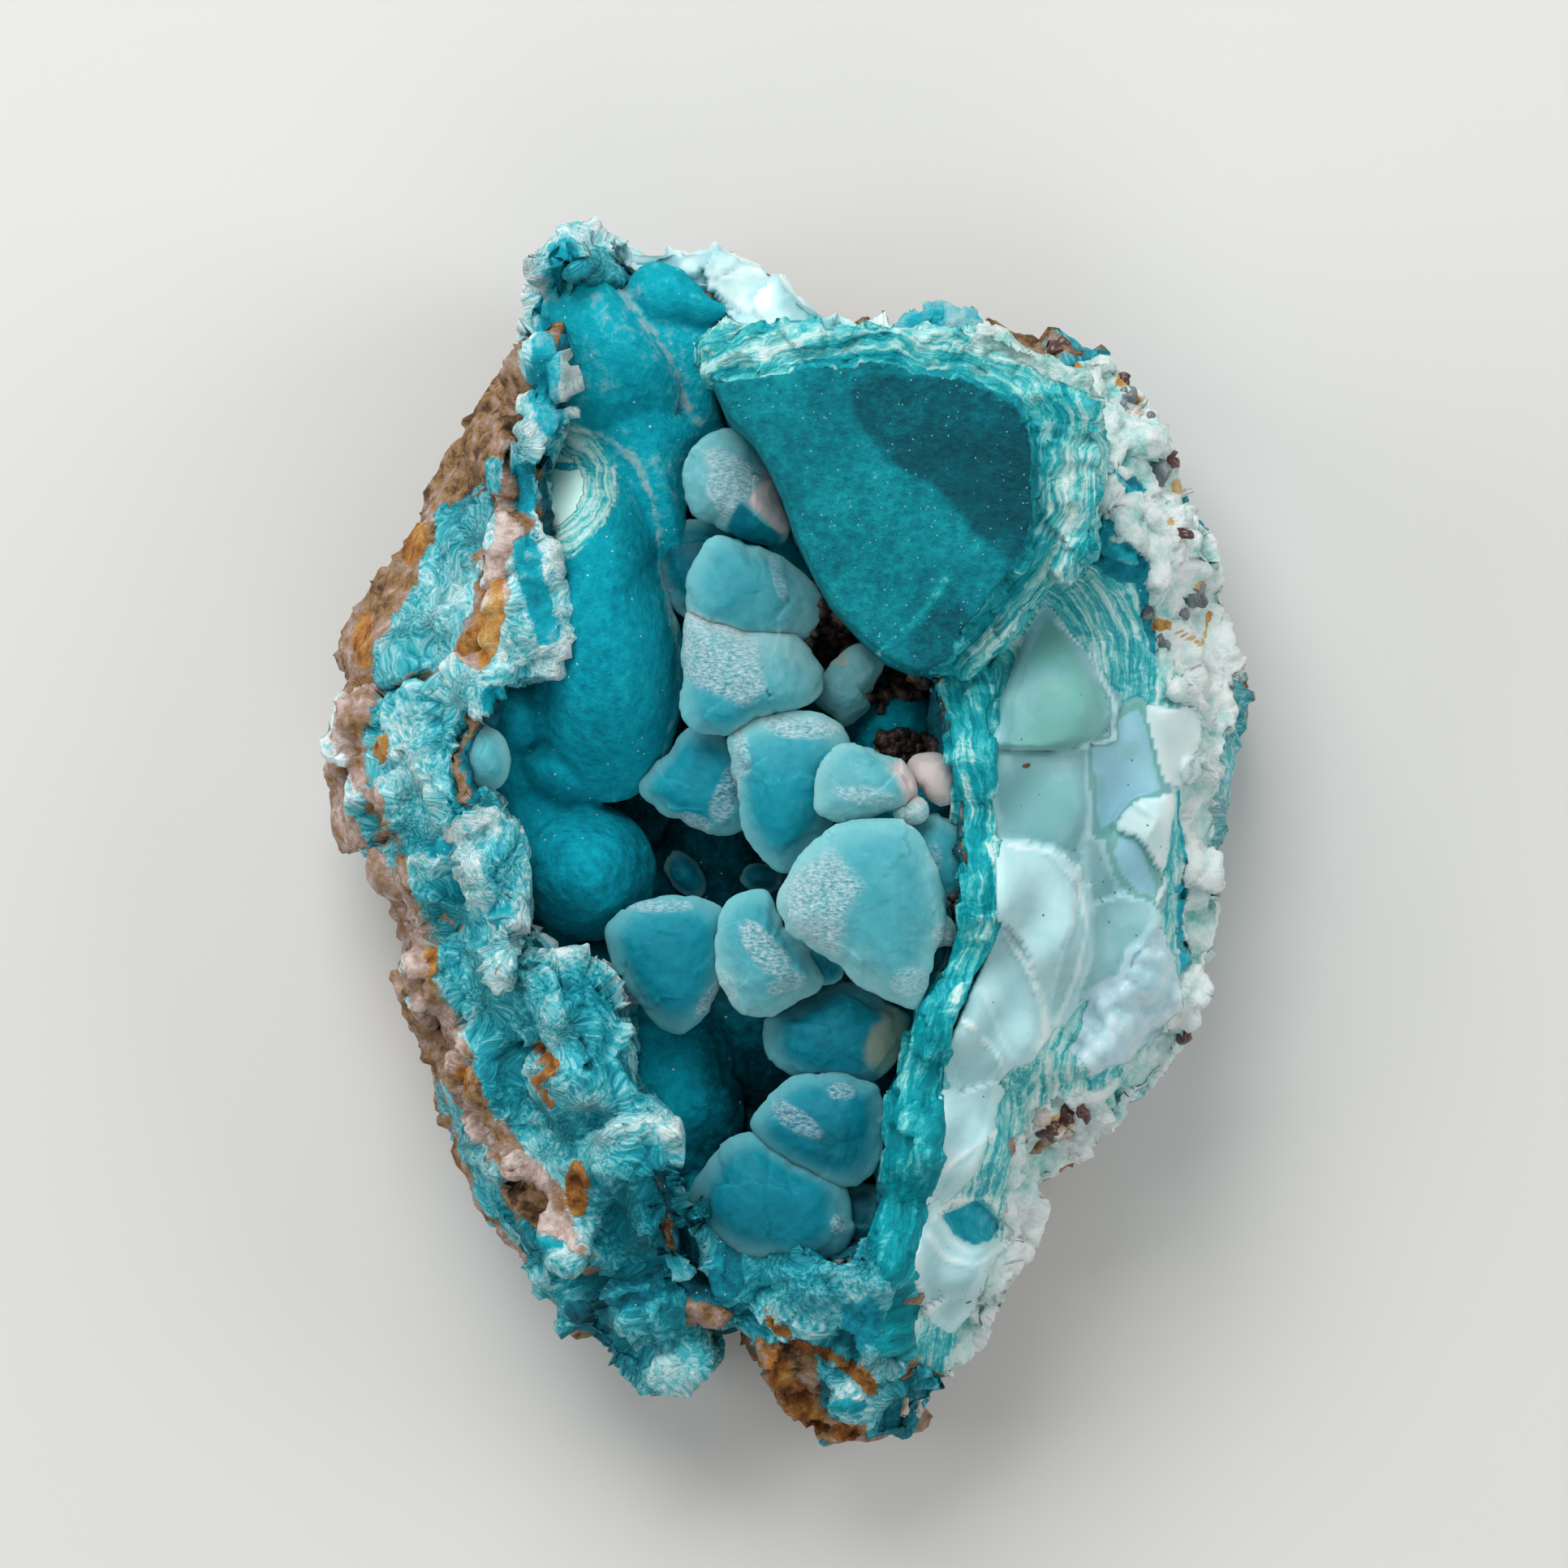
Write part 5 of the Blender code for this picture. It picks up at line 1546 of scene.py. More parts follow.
@dataclass
class MintZone:
    """The right side: curved mint shells beside the ribbon, and the chalky crust outside them."""

    shells: tuple[Shell, ...] = (
        Shell((
            (17.1, 14.1), (18.3, 12.4), (19.8, 10.3), (21.2, 8.8), (21.3, 7.8), (20.8, 7.1), (19.6, 5.9),
            (16.7, 5.4), (13.8, 5.5), (14.5, 7.1), (14.7, 8.8), (15.7, 11.5), (16.4, 12.9),
        ), 0.9, (0.1, -0.12), 0.5, 0.2),
        Shell((
            (13.6, 5.4), (16.4, 5.4), (19.5, 5.7), (19.6, 3.8), (19.7, 1.5), (19.5, 0.3), (18.8, -1.3),
            (17.4, -0.7), (15.5, -0.3), (14.0, -0.2), (13.7, 2.3),
        ), 0.0, (0.05, 0.06), 0.3, 0.4),
        Shell((
            (14.0, -0.3), (15.5, -0.3), (17.4, -0.9), (18.6, -2.3), (18.8, -3.2), (18.6, -5.9), (18.1, -7.1),
            (17.6, -9.3), (17.1, -12.0), (16.7, -12.7), (16.4, -10.5), (16.2, -9.1), (15.5, -7.1),
            (14.4, -5.6), (14.1, -3.5), (14.0, -1.8),
        ), 0.6, (0.05, 0.06), 1.0, 0.7),
        Shell((
            (18.8, -3.2), (20.0, -3.2), (19.8, -8.1), (19.1, -10.3), (17.9, -11.7), (17.2, -12.0),
            (17.6, -9.3), (18.1, -7.1), (18.6, -5.9),
        ), 0.4, (0.12, 0.0), 0.2, 0.62),
        Shell((
            (14.3, -5.9), (15.5, -7.2), (16.2, -9.2), (16.6, -11.7), (16.5, -12.9), (15.7, -14.1),
            (14.7, -14.2), (14.0, -12.9), (13.4, -11.2), (12.8, -9.7), (11.4, -10.0), (13.0, -7.6),
        ), 0.0, (0.16, 0.04), 0.3, 0.6),
        Shell((
            (10.6, -10.5), (12.8, -9.9), (13.8, -12.3), (14.7, -14.2), (13.3, -15.8), (11.5, -16.5),
            (11.1, -15.3), (10.7, -13.4), (10.5, -11.7),
        ), -0.2, (0.04, 0.05), 0.4, 0.6),
        Shell((
            (19.6, 5.7), (21.7, 7.6), (22.9, 8.3), (23.4, 7.6), (23.9, 6.2), (24.6, 2.8), (22.7, 2.3),
            (21.6, 0.9), (20.3, -0.1), (20.0, 2.3), (19.9, 4.0),
        ), 0.3, (0.1, 0.06), 0.2, 0.0),
        Shell((
            (21.7, 1.1), (22.7, 2.1), (23.7, 2.4), (24.9, 2.2), (24.6, 0.3), (24.4, -1.8), (23.7, -0.6),
            (22.7, 0.1), (21.9, 0.3),
        ), 0.9, (0.1, 0.04), 0.3, 0.9),
        Shell((
            (21.7, 0.0), (22.7, -0.1), (23.5, -1.1), (24.4, -3.2), (24.4, -4.4), (22.9, -3.8), (21.7, -2.5),
            (21.2, -1.1),
        ), 0.2, (0.05, 0.1), 0.1, 0.05),
        Shell((
            (20.0, -4.4), (21.7, -4.0), (23.7, -4.4), (24.0, -5.4), (23.2, -6.6), (22.2, -7.4), (21.7, -9.1),
            (20.8, -9.5), (19.8, -10.0), (19.3, -10.3), (20.0, -7.8),
        ), 0.3, (0.06, 0.08), 0.3, 0.45),
        Shell((
            (19.6, -0.1), (20.3, -0.2), (21.2, -2.5), (21.7, -3.9), (20.0, -4.3), (19.7, -2.7),
        ), 0.1, (0.0, 0.1), 0.1, 0.42),
        Shell((
            (23.7, 7.8), (25.1, 7.6), (26.5, 7.6), (26.8, 6.4), (25.8, 5.2), (25.6, 3.8), (24.9, 3.8),
            (24.4, 4.7), (23.9, 6.4),
        ), 0.6, (0.1, 0.1), 0.3, 0.9),
        Shell((
            (10.6, -16.9), (13.3, -16.1), (13.7, -16.6), (12.9, -19.0), (11.9, -21.6), (10.3, -23.2),
            (9.8, -21.6), (10.1, -19.0),
        ), 0.3, (0.05, 0.0), 0.3, 0.64),
        Shell((
            (8.7, -23.7), (8.7, -26.1), (9.0, -28.2), (9.5, -30.1), (10.2, -31.4), (11.1, -32.1),
            (11.9, -31.4), (12.0, -30.5), (13.0, -27.7), (13.7, -26.9), (11.7, -27.1), (10.8, -26.1),
            (10.0, -25.0), (9.5, -23.7),
        ), 0.5, (0.08, 0.04), 0.2, 0.66),
        Shell((
            (9.2, -29.0), (9.8, -30.8), (11.1, -31.9), (11.7, -30.9), (11.3, -29.3), (9.7, -28.4),
        ), 0.9, (0.0, 0.0), 0.4, 0.9),
    )
    nodules: tuple[Triple, ...] = (
        (24.1, -10.0, 1.4), (22.7, -12.7, 1.3), (20.8, -13.9, 1.2), (22.4, -10.5, 1.0), (25.0, -8.5, 1.1),
        (23.4, -8.0, 0.8), (24.5, -11.9, 1.0), (21.6, -12.2, 0.9), (19.8, -14.7, 1.0), (23.2, -9.2, 0.9),
        (20.9, -11.1, 0.8), (25.5, -10.7, 0.8), (22.1, -14.4, 0.8), (19.3, -12.7, 0.7), (22.1, 19.3, 1.5),
        (25.2, 20.8, 1.5), (26.3, 9.4, 1.3), (27.0, 4.1, 1.2),
    )
    pearl: tuple = (Zone(((19.7, -8.0), (21.9, -7.5), (22.9, -6.9), (24.2, -5.9), (25.8, -8.0), (26.1, -11.1), (25.0, -12.7),
                  (22.9, -14.8), (19.8, -15.6), (18.7, -13.7), (19.5, -11.1))),)
    crust: tuple = (Zone((
        (19.2, 33.8), (19.7, 30.9), (20.0, 27.7), (20.7, 24.6), (20.6, 20.4), (20.4, 17.8), (22.9, 17.0),
        (23.4, 14.1), (25.0, 8.8), (26.9, 7.8), (26.1, 5.2), (25.8, -3.8), (26.0, -9.0), (25.0, -12.2),
        (22.9, -14.8), (19.8, -16.6), (16.1, -17.7), (15.0, -20.6), (14.3, -23.2), (14.5, -25.8),
        (13.2, -30.0), (12.2, -32.1), (9.8, -36.3), (17.7, -36.3), (38.7, -14.3), (38.7, 22.5), (28.2, 38.2),
        (19.2, 38.2),
    ), blur=1.0, ragged=0.9),)
    scoop: tuple = (Zone((
        (10.3, -24.6), (12.6, -23.7), (13.8, -24.6), (14.3, -25.8), (13.5, -26.4), (12.4, -26.6),
        (11.1, -25.8),
    ), blur=0.5, ragged=0.3),)
    gaps: tuple = (
        Trail(((21.4, 23.0), (22.1, 22.5), (23.1, 22.6)), 0.3, 0.5),
        Trail(((20.2, 20.4), (20.4, 18.8), (21.3, 17.9), (22.7, 17.2)), 0.7, 0.9),
        Trail(((25.8, 2.8), (26.1, -1.7), (25.7, -4.8), (26.0, -8.8)), 0.05, 0.3, 0.8),
        Spot((20.4, 28.1), (0.4, 0.5)), Trail(((22.7, 17.1), (23.5, 15.1), (24.0, 12.0)), 0.15, 0.5, 0.7),
        Trail(((13.8, 5.5), (16.7, 5.4), (19.7, 5.9)), 0.02, 0.22, 0.8), Spot((26.0, -3.8), (0.5, 0.7)),
        Spot((26.2, -7.8), (0.4, 0.8)),
    )
    ridges: tuple = (
        Trail(((14.3, -6.2), (15.7, -8.4), (16.8, -10.8), (17.1, -12.8), (16.4, -13.8)), 0.03, 0.24),
        Trail(((17.7, 13.7), (19.8, 11.7), (21.4, 8.4), (21.3, 6.1), (19.2, 5.7)), 0.03, 0.2, 0.8),
        Trail(((22.8, 2.1), (24.2, 1.1), (23.4, -0.4), (25.0, -2.9), (24.3, -4.3)), 0.03, 0.2),
        Trail(((14.5, -0.6), (17.1, -1.1), (19.0, -3.1), (19.6, -5.9), (18.8, -9.5), (17.7, -12.3)), 0.02, 0.2, 0.8),
        Trail(((10.6, -11.1), (12.2, -12.3), (13.8, -14.0), (14.5, -15.8)), 0.02, 0.2, 0.8),
        Trail(((9.3, -23.7), (10.3, -21.6), (12.4, -20.0), (14.0, -19.0)), 0.02, 0.2, 0.7),
        Trail(((9.8, -24.8), (10.8, -23.7), (13.2, -23.5), (14.5, -24.8)), 0.05, 0.25),
        Trail(((9.5, -25.8), (10.6, -27.4), (12.4, -27.9), (14.3, -26.9)), 0.05, 0.25, 0.8),
    )
    rust: tuple = (
        Spot((18.7, 30.0), (1.0, 0.9)), Spot((15.0, 32.9), (1.7, 0.5), 12.0), Spot((22.3, 29.7), (0.5, 0.6)),
        Spot((23.2, 28.6), (0.5, 0.5)), Spot((25.8, 22.7), (0.5, 0.6)), Spot((25.2, 20.3), (0.25, 0.25)),
        Spot((24.6, 13.6), (0.7, 0.5)), Spot((27.4, 16.1), (0.4, 0.5)),
        Trail(((25.6, 13.2), (27.5, 12.4), (28.0, 14.4)), 0.02, 0.22), Spot((17.9, -18.9), (1.4, 0.7), 20.0, 0.8),
        Spot((19.2, 31.6), (0.7, 0.35)), Spot((15.6, 4.5), (0.2, 0.2)), Spot((12.2, 32.2), (1.0, 0.25)),
    )
    plate: Plate = field(default_factory=lambda: Plate("mint_zone", RIGHT_PLATE, 9.0, -0.2, Relief()))
    crust_relief: Relief = Relief(((3.4, 0.9, 0.24), (1.4, 0.4, 0.3)), lump=1.9, bulge=0.2, grain=0.7, depth=0.24, seed=71)

    def build(self) -> None:
        """Build the zone and dress it."""
        clay = Clay()
        for x, y, radius in self.nodules:
            clay.lump((x, y, 0.2), (radius, radius, radius), detail=3)
        zone, relief = self.plate.sculpt(clay)
        points = zone.points()
        within = np.stack([signed_distance(points, shell.outline) for shell in self.shells])
        within += 0.12 * soft_noise(points, 1.1, 73, 2)
        nearest, depth = within.argmax(axis=0), within.max(axis=0)
        heights = np.stack([shell.height(points) for shell in self.shells])[nearest, np.arange(len(points))]
        on = smooth_step(depth, -0.75, -0.5)
        crust = largest_share(self.crust, points) * (1.0 - on)
        gaps, scoop = largest_share(self.gaps, points), largest_share(self.scoop, points)
        ridges = largest_share(self.ridges, points)
        points[:, 2] += on * heights + 0.25 * ridges - 0.9 * gaps - 1.4 * scoop
        zone.place(points)
        rough = self.crust_relief.push(points)
        zone.push(rough * crust + 0.06 * soft_noise(points, 2.2, 72, 3) * (1.0 - crust))
        points = zone.points()
        shell_tones = np.array([shell.tone for shell in self.shells])[nearest]
        brink = smooth_step(-depth, -0.24, -0.02)
        base = on * (shell_tones + 0.3 * brink * (0.98 - shell_tones)) + (1.0 - on) * 0.62
        base += ridges * (0.98 - base) + scoop * (0.74 - base)
        base += crust * (0.76 + 0.35 * rough - base) - 0.2 * gaps
        zone.mark("tone", tones(points, base, 0.10, 2.6, 74))
        zone.mark("crust", crust)
        zone.mark("between", (1.0 - on) * (1.0 - crust))
        zone.mark("pearl", largest_share(self.pearl, points) * smooth_step(-depth, -0.1, 0.1))
        zone.mark("teal", np.maximum(scoop, smooth_step(gaps, 0.3, 0.8) * (1.0 - on)))
        zone.mark("rust", largest_share(self.rust, points))
        zone.mark("rind", np.stack([-1.4 * signed_distance(points, RIBBON), points[:, 1], points[:, 2]], axis=1))
        stack = Stack("Mint smithsonite and crust", MINT_SHELL)
        stack.cover(BANDED_RIND, "between", 0.4).cover(CHALKY_CRUST, "crust").cover(PEARLY_NODULES, "pearl")
        stack.cover(TEAL_VELVET, "teal", 0.5).cover(ORANGE_LIMONITE, "rust")
        zone.finish(stack.done(glow=0.1, bump=0.8), Node.MATRIX, Slot.MATRIX)


class Grain(Enum):
    """Kinds of quartz grains in the crust, and where each lies on the quartz colours."""

    RED = 0.12
    GREY = 0.5
    PINK = 0.9


def surface_height(x: float, y: float, limit: float) -> float | None:
    """Look straight down for the specimen's surface.

    Args:
        x: Place to the right, in millimetres.
        y: Place up the face, in millimetres.
        limit: Height above the back from which the look starts, in millimetres.

    Returns:
        The surface's height in millimetres, or nothing if the look starts inside or meets no surface.
    """
    start = Vector((x, y, limit)) * MILLIMETRE
    graph = bpy.context.evaluated_depsgraph_get()
    hit, place, normal, *_ = bpy.context.scene.ray_cast(graph, start, Vector((0.0, 0.0, -1.0)))
    return place.z / MILLIMETRE if hit and normal.z > 0.0 and place.z > MILLIMETRE else None


@dataclass
class QuartzGrains:
    """Grains of smoky and red-brown quartz that stand out of the chalky crust."""

    grains: tuple = (
        ((17.9, 31.6), (1.2, 0.8, 0.35), 30.0, Grain.RED), ((17.1, 30.6), (0.5, 0.55, 0.5), 0.0, Grain.GREY),
        ((22.6, 28.7), (0.55, 0.5, 0.5), 0.0, Grain.GREY), ((23.0, 27.4), (0.6, 0.5, 0.4), 0.0, Grain.PINK),
        ((22.4, 27.8), (0.3, 0.45, 0.4), 0.0, Grain.GREY), ((24.1, 27.3), (0.32, 0.3, 0.3), 0.0, Grain.GREY),
        ((24.8, 23.9), (0.65, 1.15, 0.7), -12.0, Grain.GREY), ((25.4, 24.5), (0.5, 0.6, 0.5), 20.0, Grain.RED),
        ((27.0, 15.9), (0.75, 0.95, 0.7), -20.0, Grain.GREY),
        ((26.1, 14.4), (0.5, 0.45, 0.4), 0.0, Grain.GREY), ((24.9, 12.4), (0.45, 0.4, 0.4), 0.0, Grain.GREY),
        ((23.7, 14.6), (0.4, 0.6, 0.4), 30.0, Grain.GREY), ((25.8, 19.4), (1.0, 0.35, 0.4), -8.0, Grain.RED),
        ((28.2, -4.0), (0.5, 0.9, 0.7), 0.0, Grain.RED), ((26.4, -13.1), (0.4, 0.8, 0.6), -20.0, Grain.RED),
        ((17.4, -19.2), (0.9, 0.6, 0.5), 20.0, Grain.RED), ((18.7, -19.5), (0.6, 0.45, 0.5), 0.0, Grain.PINK),
        ((18.5, -18.3), (0.8, 0.7, 0.5), 30.0, Grain.RED), ((16.7, -18.3), (0.6, 0.5, 0.4), 0.0, Grain.PINK),
        ((19.5, -18.0), (0.5, 0.6, 0.5), 0.0, Grain.RED), ((8.2, -37.2), (0.22, 1.4, 0.3), -12.0, Grain.PINK),
        ((9.1, -37.6), (0.22, 1.5, 0.3), -20.0, Grain.PINK),
        ((22.3, 29.7), (0.45, 0.5, 0.4), 0.0, Grain.RED), ((23.2, 28.6), (0.4, 0.4, 0.4), 0.0, Grain.RED),
    )
    relief: Relief = Relief(((0.9, 0.25, 0.5),), seed=81)

    def build(self) -> None:
        """Build the grains and dress them."""
        clay, tone = Clay(), []
        for (x, y), radii, turn, kind in self.grains:
            height = surface_height(x, y, 60.0)
            if height is not None:
                before = len(clay.form.verts)
                clay.lump((x, y, height - 0.1), radii, (0.0, 0.0, math.radians(turn)), 3)
                tone += [kind.value] * (len(clay.form.verts) - before)
        grains = Sculpture("quartz_grains", clay)
        points = grains.points()
        grains.push(self.relief.push(points))
        grains.mark("tone", tones(points, np.array(tone), 0.06, 0.8, 82))
        grains.finish(Stack("Smoky quartz", SMOKY_QUARTZ).done(gloss=0.5), Node.MATRIX, Slot.MATRIX)


@dataclass
class Goethite:
    """Clusters of small near-black crystals between the block and the pale crystals."""

    patches: tuple[Outline, ...] = (
        ((2.4, 16.3), (3.2, 15.4), (4.7, 13.3), (4.2, 11.5), (2.9, 11.2), (1.7, 11.9), (1.1, 12.4),
         (2.4, 13.6)),
        ((6.8, 11.3), (8.2, 11.2), (9.5, 9.9), (9.5, 8.5), (8.2, 9.0), (7.2, 9.5)),
        ((5.6, 9.0), (6.5, 9.5), (6.8, 8.3), (5.7, 8.3)),
        ((6.1, 6.2), (7.2, 6.5), (9.8, 6.1), (9.8, 4.9), (8.2, 4.6), (7.2, 5.4), (6.2, 5.3)),
        ((10.9, -3.5), (11.7, -3.6), (11.8, -4.8), (11.3, -5.1)),
    )
    spacing: float = 0.45
    size: tuple[float, float] = (0.5, 1.0)
    limit: float = 24.0

    def build(self) -> None:
        """Build the clusters and dress them."""
        clay, dice = Clay(), random.Random(7)
        for patch in self.patches:
            (left, low), (right, high) = np.min(patch, axis=0), np.max(patch, axis=0)
            for x, y in itertools.product(np.arange(left, right, self.spacing), np.arange(low, high, self.spacing)):
                x, y = x + dice.uniform(-0.2, 0.2), y + dice.uniform(-0.2, 0.2)
                height = surface_height(x, y, self.limit)
                if height is not None and signed_distance(np.array([[x, y, 0.0]]), patch)[0] > -0.1:
                    size = tuple(dice.uniform(*self.size) for _ in range(3))
                    turn = tuple(dice.uniform(0.0, math.pi) for _ in range(3))
                    clay.chunk((x, y, height + 0.1), size, turn)
        cluster = Sculpture("goethite", clay)
        cluster.mark("tone", tones(cluster.points(), 0.5, 0.4, 0.7, 84))
        cluster.finish(Stack("Goethite", GOETHITE).done(gloss=0.5), Node.MATRIX, Slot.MATRIX)


